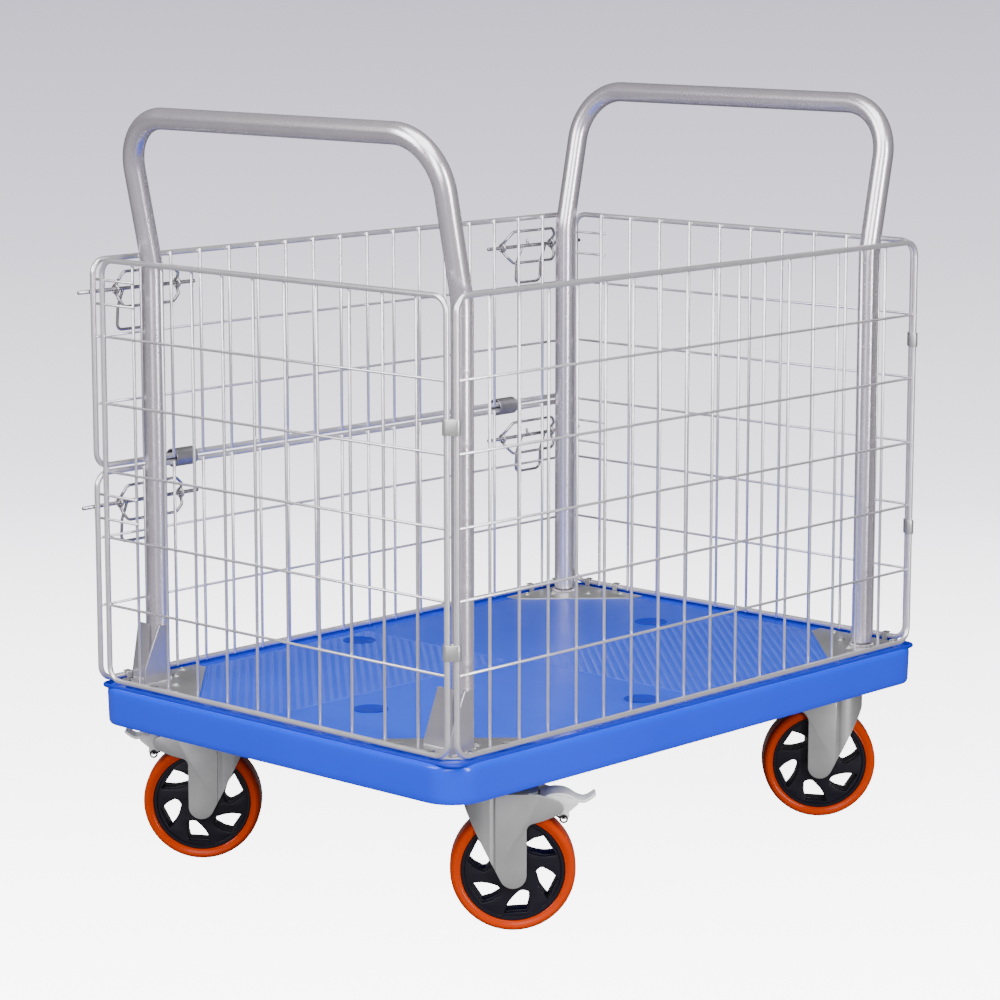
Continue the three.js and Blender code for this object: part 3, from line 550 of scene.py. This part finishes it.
def make_side_gusset(name, sy):
    """Only the front posts have one."""
    sx = ENDS["front"]
    base, top = SIDE_GUSSETS[sy]
    foot = POST_FOOT
    y = sy * HANDLE["post_y"]
    outline = [(y, foot), (y + base, foot), (y + base, foot + 3), (y + top, foot + GUSSET["height"]),
               (y, foot + GUSSET["height"])]
    x = sx * (HANDLE["post_x"] + HANDLE["radius"] + 0.3 + GUSSET["thickness"] / 2)
    bm = bmesh.new()
    plate(bm, [outline], GUSSET["thickness"], 0.6, standing_along_y(x))
    piece(f"side_gusset_{name}", bm, SHADED_PLATE_SILVER, "chassis", [f"side_gusset_{name}"], 30)
    bm = bmesh.new()
    near = sx * (HANDLE["post_x"] + HANDLE["radius"] + 0.1)
    weld(bm, [V(near, y + 5.0, foot + 3), V(near, y + 5.0, foot + GUSSET["height"] - 3)], 1.8)
    far = x + sx * GUSSET["thickness"] / 2
    weld(bm, [V(far, y + 2, foot + 0.4), V(far, y + base - 3, foot + 0.4)], 1.5)
    piece(f"side_gusset_weld_{name}", bm, WELD, "chassis", (), 60)


# ------------------------------------------------------------------ wire panels
def spread(count, pitch):
    return [(i - (count - 1) / 2) * pitch for i in range(count)]


def wire_panel(bm, place, u0, u1, z0, z1, columns, rows):
    """place turns (along the panel, inwards, up) into the cart's own frame."""
    loop = rounded_path([place(u0, 0, z0), place(u1, 0, z0), place(u1, 0, z1), place(u0, 0, z1)],
                        CAGE["frame_radius"], 8, True)
    bar(bm, loop, FRAME_WIRE, 16, True)
    over = 2.4
    for u in columns:
        bar(bm, [place(u, UPRIGHT_INSIDE, z0 - over), place(u, UPRIGHT_INSIDE, z1 + over)], UPRIGHT_WIRE, 10)
    for z in rows:
        bar(bm, [place(u0, LEVEL_INSIDE, z), place(u1, LEVEL_INSIDE, z)], LEVEL_WIRE, 10)
        for u in columns:
            lathe(bm, [(0.02, -1.5), (1.3, -1.2), (1.9, 0), (1.3, 1.2), (0.02, 1.5)], V(0, 0, 1),
                  place(u, (UPRIGHT_INSIDE + LEVEL_INSIDE) / 2, z), 8)


def side_place(sy):
    return lambda u, w, z: V(u, sy * (CAGE["half_y"] - w), z)


def end_place(sx):
    return lambda u, w, z: V(sx * (CAGE["half_x"] - w), u, z)


def make_panels():
    bm = bmesh.new()
    half_length = CAGE["half_x"] - PANEL_SHORT["side"]
    wire_panel(bm, side_place(-1), -half_length, half_length, CAGE["bottom"], CAGE["top"],
               spread(SIDE_COUNT, SIDE_PITCH), ROWS)
    piece("side_panel", bm, WIRE, "chassis", ["side_panel"], 50)
    for name, sx in ENDS.items():
        bm = bmesh.new()
        wire_panel(bm, end_place(sx), PANEL_SHORT["end_left"] - CAGE["half_y"],
                   CAGE["half_y"] - PANEL_SHORT["end_right"], CAGE["bottom"], CAGE["top"],
                   spread(END_COUNT, END_PITCH), ROWS)
        x = sx * (CAGE["half_x"] - LEVEL_INSIDE)
        inner = END_PITCH * (END_COUNT - 1) / 2 - 5
        reach = KEEPER["reach"] - LEVEL_WIRE
        for bolt_z in BOLT_Z.values():
            path = rounded_path([V(x, inner, bolt_z - KEEPER["half"]), V(x, reach, bolt_z - KEEPER["half"]),
                                 V(x, reach, bolt_z + KEEPER["half"]), V(x, inner, bolt_z + KEEPER["half"])],
                                [0, 4, 4, 0], 6)
            bar(bm, path, LEVEL_WIRE, 10)
        piece(f"end_panel_{name}", bm, WIRE, "chassis", [f"end_panel_{name}"], 50)
    leaves = (("lower", CAGE["bottom"], GATE["lower_top"]), ("upper", GATE["upper_bottom"], CAGE["top"]))
    for name, z0, z1 in leaves:
        bm = bmesh.new()
        rows = [z for z in ROWS if z0 + 10 < z < z1 - 10]
        wire_panel(bm, side_place(1), -GATE["half"], GATE["half"], z0, z1,
                   spread(SIDE_COUNT, SIDE_PITCH), rows)
        piece(f"{name}_gate", bm, WIRE, f"{name}_leaf", [f"{name}_gate"], 50)


def make_corner_clip(name, sx, z):
    """A band of sheet metal round the two frame wires that meet at a left-hand corner."""
    end_wire = V(sx * CAGE["half_x"], PANEL_SHORT["end_left"] - CAGE["half_y"], z)
    side_wire = V(sx * (CAGE["half_x"] - PANEL_SHORT["side"]), -CAGE["half_y"], z)
    between = side_wire - end_wire
    half = between.length / 2
    room = FRAME_WIRE + 0.5
    outlines = []
    for radius in (room + 1.2, room):
        outlines.append(arc(half, 0, radius, -90, 90, 10) + arc(-half, 0, radius, 90, 270, 10))
    turn = Matrix.Rotation(math.atan2(between.y, between.x), 4, "Z")
    turn = Matrix.Translation((end_wire + side_wire) / 2) @ turn
    bm = bmesh.new()
    plate(bm, outlines, 18.0, 0.4, turn)
    piece(name, bm, ZINC, "chassis", [name], 40)


def make_sleeve(name, x):
    z = (GATE["lower_top"] + GATE["upper_bottom"]) / 2
    outer, bore, half = SLEEVE["outer"], SLEEVE["bore"], SLEEVE["length"] / 2
    profile = [(bore, -half + 0.6), (bore + 0.5, -half), (outer - 0.6, -half), (outer, -half + 0.6),
               (outer, half - 0.6), (outer - 0.6, half), (bore + 0.5, half), (bore, half - 0.6)]
    bm = bmesh.new()
    lathe(bm, profile, V(1, 0, 0), V(x, GATE["hinge_y"], z), 36)
    piece(name, bm, SLEEVE_STEEL, "lower_leaf", [name], 40)


# ------------------------------------------------------------------ latches
def make_bow(level, end, sx):
    z = BOLT_Z[level]
    bm = bmesh.new()
    outer, inner, h, eye, y = BOW["outer"], BOW["inner"], BOW["half"], BOW["eye"], BOLT["y"]
    for up in (1, -1):
        path = rounded_path([
            V(sx * inner, y, z + up * eye), V(sx * (inner + 3), BOW["y"] + 2, z + up * (eye + 8)),
            V(sx * (inner + 14), BOW["y"], z + up * h), V(sx * (outer - 6), BOW["y"], z + up * h),
            V(sx * outer, BOW["y"] + 2, z + up * (eye + 8)), V(sx * outer, y, z + up * eye),
        ], [0, 4, 8, 8, 4, 0], 6)
        bar(bm, path, BOW["radius"], 10)
    for x in (inner, outer):
        ring = [V(sx * x, y + eye * math.cos(a), z + eye * math.sin(a))
                for a in (2 * math.pi * k / 20 for k in range(20))]
        bar(bm, ring, BOW["radius"], 10, True)
    piece(f"latch_bow_{level}_{end}", bm, LATCH, f"{level}_leaf", [f"latch_bow_{level}_{end}"], 50)


def make_bolt(level, end, sx):
    z, y = BOLT_Z[level], BOLT["y"]
    bm = bmesh.new()
    bar(bm, [V(sx * BOLT["tail"], y, z), V(sx * BOLT["tip"], y, z)], BOLT["radius"], 14)

    def at(x, lean, drop):
        return V(sx * x, y + lean * BOLT["lean"], z - drop * BOLT["drop"])

    path = rounded_path([at(BOLT["bail_in"], 0, 0), at(BOLT["bail_in"] - 1, 0.8, 0.45),
                         at(BOLT["bail_in"] - 1, 1, 1), at(BOLT["bail_out"] + 1, 1, 1),
                         at(BOLT["bail_out"] + 1, 0.8, 0.45), at(BOLT["bail_out"], 0, 0)],
                        [0, 12, 8, 8, 12, 0], 6)
    bar(bm, path, 2.0, 10)
    bar(bm, [V(sx * 355, y, z), V(sx * 353, y + 1, z + 9)], 2.0, 10)
    piece(f"latch_bolt_{level}_{end}", bm, LATCH, f"bolt_{level}_{end}", [f"latch_bolt_{level}_{end}"], 50)


# ------------------------------------------------------------------ casters
# A caster is drawn with its kingpin on the Z axis and its wheel trailing towards +X.
def turned(x, y, half_turn):
    return Matrix.Translation((x, y, 0)) @ Matrix.Rotation(CASTER_YAW + half_turn, 4, "Z")


def make_mount(name, x, y):
    bm = bmesh.new()
    top = DECK["underside"] - 0.3
    outline = rounded_rectangle(MOUNT["half_x"], MOUNT["half_y"], 8, 5)
    plate(bm, [outline], MOUNT["thickness"], 0.8, lying(x, y, top - MOUNT["thickness"] / 2))
    lathe(bm, [(6.8, -3), (6.8, -7), (24, -7), (28, -5.5), (29, -3)], V(0, 0, 1), V(x, y, RACE_TOP), 40)
    for dx in (-MOUNT["bolt_x"], MOUNT["bolt_x"]):
        for dy in (-MOUNT["bolt_y"], MOUNT["bolt_y"]):
            hexagon = arc(x + dx, y + dy, 6.0, 0, 300, 5)
            plate(bm, [hexagon], 3.6, 0.6, lying(z=RACE_TOP - 1.9 - 1.3))
    piece(f"mount_plate_{name}", bm, ZINC, "chassis", [f"mount_plate_{name}"], 35)


def leg_outline(brake):
    """The flat part of a leg, from the axle: its foot, its upright rear edge and, at a brake, its arm."""
    foot, low = FOOT_RADIUS, FOOT_Z
    top = CROWN_Z + CROWN_THICKNESS - AXLE_Z
    front = -21.0
    slant = math.radians(SLANT)
    tangent_x, tangent_y = -foot * math.cos(slant), low - foot * math.sin(slant)
    front_y = tangent_y + (-front + tangent_x) / math.tan(slant)
    outline = [(front, top), (front, front_y)]
    outline += arc(0, low, foot, 180 + SLANT, 360, 14)
    if brake:
        outline += arc(foot + 9, 50, 9, 180, 112, 6)
        outline += [(36, 62.3), (54, 69.8)]
        outline += arc(50.5, 79, 9.4, -60, 85, 8)
        outline += [(34, top - 1.2), (30, top)]
    else:
        outline += arc(foot + 17, 56, 17, 180, 98, 8)
        outline += [(34, 75), (34, top)]
    return outline


def skirt(bm):
    """The front of the fork: one sheet that bends round in front of the kingpin."""
    foot, low = FOOT_RADIUS, FOOT_Z
    slant = math.radians(SLANT)
    tangent_x, tangent_y = -foot * math.cos(slant), low - foot * math.sin(slant)
    top = CROWN_Z + CROWN_THICKNESS * 0.6
    outer = LEG_INSIDE + LEG_THICKNESS - 0.4
    inner = LEG_INSIDE - 0.4
    bend = -58 + LEG_INSIDE + LEG_THICKNESS
    dip = ((-17, 2.2), (-20, 2.2), (-22.5, 2.1), (-24.5, 1.5), (-26.5, 0.5), (-28.3, 0.0))
    stations = [(x, V(0, -1, 0), depth) for x, depth in dip]
    for s in range(20):
        angle = math.pi * s / 19
        stations.append((bend, V(-math.sin(angle), -math.cos(angle), 0), 0.0))
    stations += [(x, V(0, 1, 0), depth) for x, depth in reversed(dip)]
    rows = 9
    rings = []
    for x, out, depth in stations:
        columns = []
        for radius in (outer - depth, inner):
            px = x + out.x * radius
            bottom = AXLE_Z + tangent_y + (tangent_x - px) / math.tan(slant)
            columns.append([V(TRAIL + px, out.y * radius, bottom + (top - bottom) * r / (rows - 1))
                            for r in range(rows)])
        rings.append(columns[0] + list(reversed(columns[1])))
    add_rings(bm, rings)


def make_fork(name, turn, brake, body):
    bm = bmesh.new()
    for sy in (-1, 1):
        y = sy * (LEG_INSIDE + LEG_THICKNESS / 2)
        outline = [(TRAIL + x, AXLE_Z + z) for x, z in leg_outline(brake)]
        plate(bm, [outline], LEG_THICKNESS, 0.9, standing_along_x(y))
    skirt(bm)
    crown = [(x + 18, y) for x, y in rounded_rectangle(44, LEG_INSIDE + 1, 20, 8)]
    plate(bm, [crown], CROWN_THICKNESS, 0.8, lying(z=CROWN_Z + CROWN_THICKNESS / 2))
    lathe(bm, [(7, 0), (27, 0), (27.6, 2.5), (26, 5.5), (22, 6.4), (7, 6.4)], V(0, 0, 1),
          V(0, 0, CROWN_Z + CROWN_THICKNESS), 40)
    reach, fall = (50, 6) if brake else (30, 0)
    for sy in (-1, 1):
        y = sy * (LEG_INSIDE + 1.2)
        bar(bm, [V(TRAIL - 20, y, CROWN_Z + 0.5), V(TRAIL + reach, y, CROWN_Z - fall)], 1.6, 10)
    piece(f"fork_{name}", bm, ZINC, body, [f"fork_{name}", f"axle_{name}"], 32, turn)


def make_kingpin(name, x, y):
    bm = bmesh.new()
    lathe(bm, [(0.02, -8), (6, -8), (6, 20), (0.02, 20)], V(0, 0, 1), V(x, y, CROWN_Z), 20)
    hexagon = arc(x, y, 9.0, 0, 300, 5)
    plate(bm, [hexagon], 7.0, 1.0, lying(z=CROWN_Z - 4.2))
    piece(f"kingpin_{name}", bm, ZINC, "chassis", [f"kingpin_{name}"], 35)


def window(turn, grow=0.0):
    points = []
    for r, degrees in WINDOW:
        a = math.radians(turn + degrees)
        points.append(Vector((r * math.cos(a), r * math.sin(a))))
    centre = sum(points, Vector((0, 0))) / len(points)
    return [tuple(p + (p - centre).normalized() * grow) for p in points]


def make_wheel(name, turn, body):
    centre = V(TRAIL, 0, AXLE_Z)
    axis = V(0, 1, 0)
    half, web, inside, rim = WHEEL["half_core"], WHEEL["half_web"], WHEEL["rim_inside"], WHEEL["rim"]
    bm = bmesh.new()
    disc = arc(0, 0, inside + 1.5, 0, 354, 59)
    place = Matrix.Translation(centre) @ standing_along_x(0)
    turns = [WINDOW_TURN + 60 * k for k in range(6)]
    layers = ((-web + 4.0, 8.0, 0.6), (0.0, 2 * web - 16.0, -0.9), (web - 4.0, 8.0, 0.6))
    for y, thickness, grow in layers:
        outlines = [disc] + [window(t, grow) for t in turns]
        plate(bm, outlines, thickness, 0.5, Matrix.Translation((0, y, 0)) @ place)
    lathe(bm, [(inside, -half + 1.2), (inside + 1.0, -half), (rim - 0.8, -half), (rim + 0.15, -half + 0.8),
               (rim + 0.15, half - 0.8), (rim - 0.8, half), (inside + 1.0, half), (inside, half - 1.2)],
          axis, centre, 96)
    lathe(bm, [(5.9, -24.5), (13.5, -24.5), (15, -23), (15.5, -web), (15.5, web), (15, 23), (13.5, 24.5),
               (5.9, 24.5)], axis, centre, 40)
    piece(f"wheel_core_{name}", bm, BLACK, body, [f"wheel_core_{name}"], 30, turn)

    bm = bmesh.new()
    radius, tread = WHEEL["radius"], WHEEL["half_tread"]
    right = [(rim + 0.2, tread - 2.6), (rim + 1.2, tread - 1.7), (rim + 1.8, tread - 1.9),
             (rim + 3.5, tread - 0.9), (rim + 6.5, tread - 0.2), (radius - 5.2, tread - 0.1),
             (radius - 4.4, tread - 0.9), (radius - 3.7, tread - 0.9), (radius - 2.0, tread - 2.6),
             (radius - 0.9, tread - 4.8), (radius - 0.25, tread - 8.0), (radius, tread - 13.0)]
    profile = right + [(r, -y) for r, y in reversed(right)]
    lathe(bm, profile, axis, centre, 96)
    piece(f"tyre_{name}", bm, ORANGE, body, [f"tyre_{name}"], 30, turn)


def make_pedal(name, turn, body):
    """The strip dips and rises to a toe; two cheeks carry the brake bar under it."""
    bm = bmesh.new()
    knots = ((33, 161.5), (46, 167), (62, 166.5), (74, 160), (83, 157.5), (90, 160), (97.5, 165.5))
    line = smooth_path([V(TRAIL + x, 0, z) for x, z in knots], 5)
    half = 20.0
    toe_start, toe_length, narrowing = 48.0, 50.0, 9.0
    widths = [half - narrowing * max(0.0, p.x - TRAIL - toe_start) / toe_length for p in line]
    rings = []
    for i, point in enumerate(line):
        a, b = line[max(0, i - 1)], line[min(len(line) - 1, i + 1)]
        up = V(0, 1, 0).cross((b - a).normalized()) * -1.3
        w = widths[i]
        rings.append([point + V(0, -w, 0) - up, point + V(0, w, 0) - up,
                      point + V(0, w, 0) + up, point + V(0, -w, 0) + up])
    add_rings(bm, rings)
    for sy in (-1, 1):
        edge = [p + V(0, sy * (w - 1.2), -0.4) for p, w in zip(line, widths)]
        bar(bm, edge, 1.8, 8)
    cheek = [(33, 154), (53, 144), (56, 138.5), (62, 137), (67, 140), (66.5, 146), (77, 155), (78, 157.5),
             (62, 165), (46, 165.5), (36, 161)]
    for sy in (-1, 1):
        plate(bm, [[(TRAIL + x, z) for x, z in cheek]], 2.5, 0.5, standing_along_x(sy * (half - 1.25)))
    bar(bm, [V(TRAIL + 40, -26, 159), V(TRAIL + 40, 26, 159)], 3.2, 14)
    piece(f"brake_pedal_{name}", bm, LIT_PEDAL_ZINC, body, [f"brake_pedal_{name}"], 32, turn)

    bm = bmesh.new()
    beside = half + 4.2
    for sy in (-1, 1):
        ring = [V(TRAIL + 60 + 4.2 * math.cos(a), sy * beside, 139 + 4.2 * math.sin(a))
                for a in (2 * math.pi * k / 18 for k in range(18))]
        bar(bm, ring, 1.2, 8, True)
        bar(bm, [V(TRAIL + 56, sy * beside, 140), V(TRAIL + 51, sy * beside, 143.5)], 1.2, 8)
        bar(bm, [V(TRAIL + 60, sy * 18, 141.5), V(TRAIL + 60, sy * beside, 141.5)], 1.6, 8)
        bar(bm, [V(TRAIL + 33.5, sy * (half + 1.0), 162.5), V(TRAIL + 33, sy * (half + 1.0), 158.5)], 1.5, 8)
        bar(bm, [V(TRAIL + 40, sy * (half + 1.0), 160.0), V(TRAIL + 46, sy * (half + 1.0), 158.8)], 1.4, 8)
    bar(bm, [V(TRAIL + 60, -half, 141), V(TRAIL + 60, half, 141)], 4.2, 16)
    piece(f"brake_spring_{name}", bm, DARK_STEEL, body, (), 50, turn)


# ------------------------------------------------------------------ build
make_deck()
make_grip_ribs()
for corner, (sign_x, sign_y) in CORNERS.items():
    make_base_plate(corner, sign_x, sign_y)
    make_end_gusset(corner, sign_x, sign_y)
make_side_gusset("front_left", -1)
make_side_gusset("front_right", 1)
for end_name, sign_x in ENDS.items():
    make_handle(end_name, sign_x)
make_panels()
for end_name, sign_x in ENDS.items():
    high, lower = CLIP_HEIGHTS[end_name]
    make_corner_clip(f"corner_clip_{end_name}_upper", sign_x, high)
    make_corner_clip(f"corner_clip_{end_name}_lower", sign_x, lower)
    make_sleeve(f"hinge_sleeve_{end_name}", sign_x * GATE["hinge_x"])
for level_name in BOLT_Z:
    for end_name, sign_x in ENDS.items():
        make_bow(level_name, end_name, sign_x)
        make_bolt(level_name, end_name, sign_x)
for caster_name, (cx, cy, half_turn, has_brake) in CASTERS.items():
    caster_turn = turned(cx, cy, half_turn)
    make_mount(caster_name, cx, cy)
    make_kingpin(caster_name, cx, cy)
    make_fork(caster_name, caster_turn, has_brake, f"swivel_{caster_name}")
    make_wheel(caster_name, caster_turn, f"wheel_{caster_name}")
    if has_brake:
        make_pedal(caster_name, caster_turn, f"pedal_{caster_name}")


# ------------------------------------------------------------------ stage, lights and camera
AWAY = V(0.7321, 0.6813, 0)          # level direction from the main camera to the cart
FLOOR_COOLING = 0.04                 # the floor's tone turns a little bluer with each step away
CLIMB = 2.0                          # how many times faster the tone falls with height than with distance
GLOW_LIT, GLOW_SEEN = 0.12, 8.0      # the floor's glow as light on the cart, and as camera rays see it
FLOOR_TONES = ((-0.65, 1.0), (0.48, 0.70), (2.57, 0.32), (4.9, 0.17), (6.6, 0.11))


def floor_material():
    """Pale and matte. Its glow is graded along AWAY and upwards, in the stage's own coordinates. Camera
    rays see it bright; as light on the cart and in reflections it is much dimmer."""
    material = bpy.data.materials.new("pale floor")
    material.use_nodes = True
    nodes, links = material.node_tree.nodes, material.node_tree.links
    shader = nodes["Principled BSDF"]
    shader.inputs["Roughness"].default_value = 0.85
    shader.inputs["Specular IOR Level"].default_value = 0.1
    place = nodes.new("ShaderNodeTexCoord")
    grain = nodes.new("ShaderNodeTexNoise")
    grain.inputs["Scale"].default_value = 3.0
    links.new(place.outputs["Object"], grain.inputs["Vector"])
    tone = nodes.new("ShaderNodeValToRGB")
    tone.color_ramp.elements[0].color = (0.10, 0.10, 0.105, 1)
    tone.color_ramp.elements[1].color = (0.12, 0.12, 0.125, 1)
    links.new(grain.outputs["Fac"], tone.inputs["Fac"])
    links.new(tone.outputs["Color"], shader.inputs["Base Color"])
    along = nodes.new("ShaderNodeVectorMath")
    along.operation = "DOT_PRODUCT"
    along.inputs[1].default_value = (AWAY.x, AWAY.y, CLIMB)
    links.new(place.outputs["Object"], along.inputs[0])
    far = nodes.new("ShaderNodeMapRange")
    far.inputs["From Min"].default_value = FLOOR_TONES[0][0]
    far.inputs["From Max"].default_value = FLOOR_TONES[-1][0]
    links.new(along.outputs["Value"], far.inputs["Value"])
    grade = nodes.new("ShaderNodeValToRGB")
    reach = FLOOR_TONES[-1][0] - FLOOR_TONES[0][0]
    for i, (distance, value) in enumerate(FLOOR_TONES):
        position = (distance - FLOOR_TONES[0][0]) / reach
        if i < 2:
            element = grade.color_ramp.elements[i]
            element.position = position
        else:
            element = grade.color_ramp.elements.new(position)
        element.color = (value, value * (1 - 0.01 * i), value * (1 + FLOOR_COOLING * i), 1)
    links.new(far.outputs["Result"], grade.inputs["Fac"])
    path = nodes.new("ShaderNodeLightPath")
    seen = nodes.new("ShaderNodeMapRange")
    seen.inputs["To Min"].default_value = GLOW_LIT
    seen.inputs["To Max"].default_value = GLOW_SEEN
    links.new(path.outputs["Is Camera Ray"], seen.inputs["Value"])
    links.new(grade.outputs["Color"], shader.inputs["Emission Color"])
    links.new(seen.outputs["Result"], shader.inputs["Emission Strength"])
    return material


def make_stage():
    """A floor that bends up into a backdrop far behind the cart."""
    across = V(AWAY.y, -AWAY.x, 0)
    bend = 1.6
    far = 3.2
    profile = [(-14.0, 0.0), (far, 0.0)]
    for step in range(1, 17):
        angle = math.pi / 2 * step / 16
        profile.append((far + bend * math.sin(angle), bend - bend * math.cos(angle)))
    profile.append((far + bend, 9.0))
    bm = bmesh.new()
    rows = [[bm.verts.new(AWAY * d + across * w + V(0, 0, z)) for w in (-14.0, 14.0)] for d, z in profile]
    for a, b in zip(rows, rows[1:]):
        bm.faces.new((a[0], a[1], b[1], b[0]))
    mesh = bpy.data.meshes.new("floor")
    bm.to_mesh(mesh)
    bm.free()
    mesh.shade_smooth()
    mesh.materials.append(floor_material())
    floor = bpy.data.objects.new("floor", mesh)
    floor.location.z = -0.0005
    bpy.context.scene.collection.objects.link(floor)


def add_light(name, location, target, size, power, color=(1, 1, 1)):
    light = bpy.data.lights.new(name, "AREA")
    light.shape = "RECTANGLE"
    light.size, light.size_y = size
    light.energy = power
    light.color = color
    obj = bpy.data.objects.new(name, light)
    obj.location = location
    obj.rotation_euler = (Vector(target) - Vector(location)).to_track_quat("-Z", "Y").to_euler()
    obj.visible_camera = False
    bpy.context.scene.collection.objects.link(obj)


def make_lights():
    add_light("overhead", (-0.9, -0.8, 3.0), (0, 0, 0.3), (2.4, 2.4), 115)
    add_light("key", (-0.35, -3.5, 1.3), (0, 0, 0.45), (0.5, 2.6), 125)
    add_light("left", (-3.4, 0.9, 2.5), (0, 0, 0.4), (2.0, 2.0), 130)
    add_light("front", (-3.5, -2.5, 2.2), (0, 0, 0.6), (1.5, 2.2), 105)
    add_light("band", (-3.7, -1.7, 1.1), (0, 0, 0.7), (1.2, 2.2), 22, (0.93, 0.9, 1.0))
    world = bpy.data.worlds.new("studio")
    world.use_nodes = True
    world.node_tree.nodes["Background"].inputs["Color"].default_value = (0.92, 0.94, 1.0, 1)
    world.node_tree.nodes["Background"].inputs["Strength"].default_value = 0.05
    bpy.context.scene.world = world


def make_camera():
    camera = bpy.data.cameras.new("camera")
    camera.lens = 119.84
    camera.sensor_width = 36.0
    obj = bpy.data.objects.new("camera", camera)
    right, up, back = V(0.6813, -0.7320, 0.0), V(0.1266, 0.1179, 0.9849), V(-0.7210, -0.6710, 0.1730)
    obj.matrix_world = Matrix.Translation((-3.090, -2.843, 1.188)) @ Matrix((
        (right.x, up.x, back.x, 0), (right.y, up.y, back.y, 0), (right.z, up.z, back.z, 0), (0, 0, 0, 1)))
    bpy.context.scene.collection.objects.link(obj)
    bpy.context.scene.camera = obj


make_stage()
make_lights()
make_camera()

bpy.context.view_layer.update()
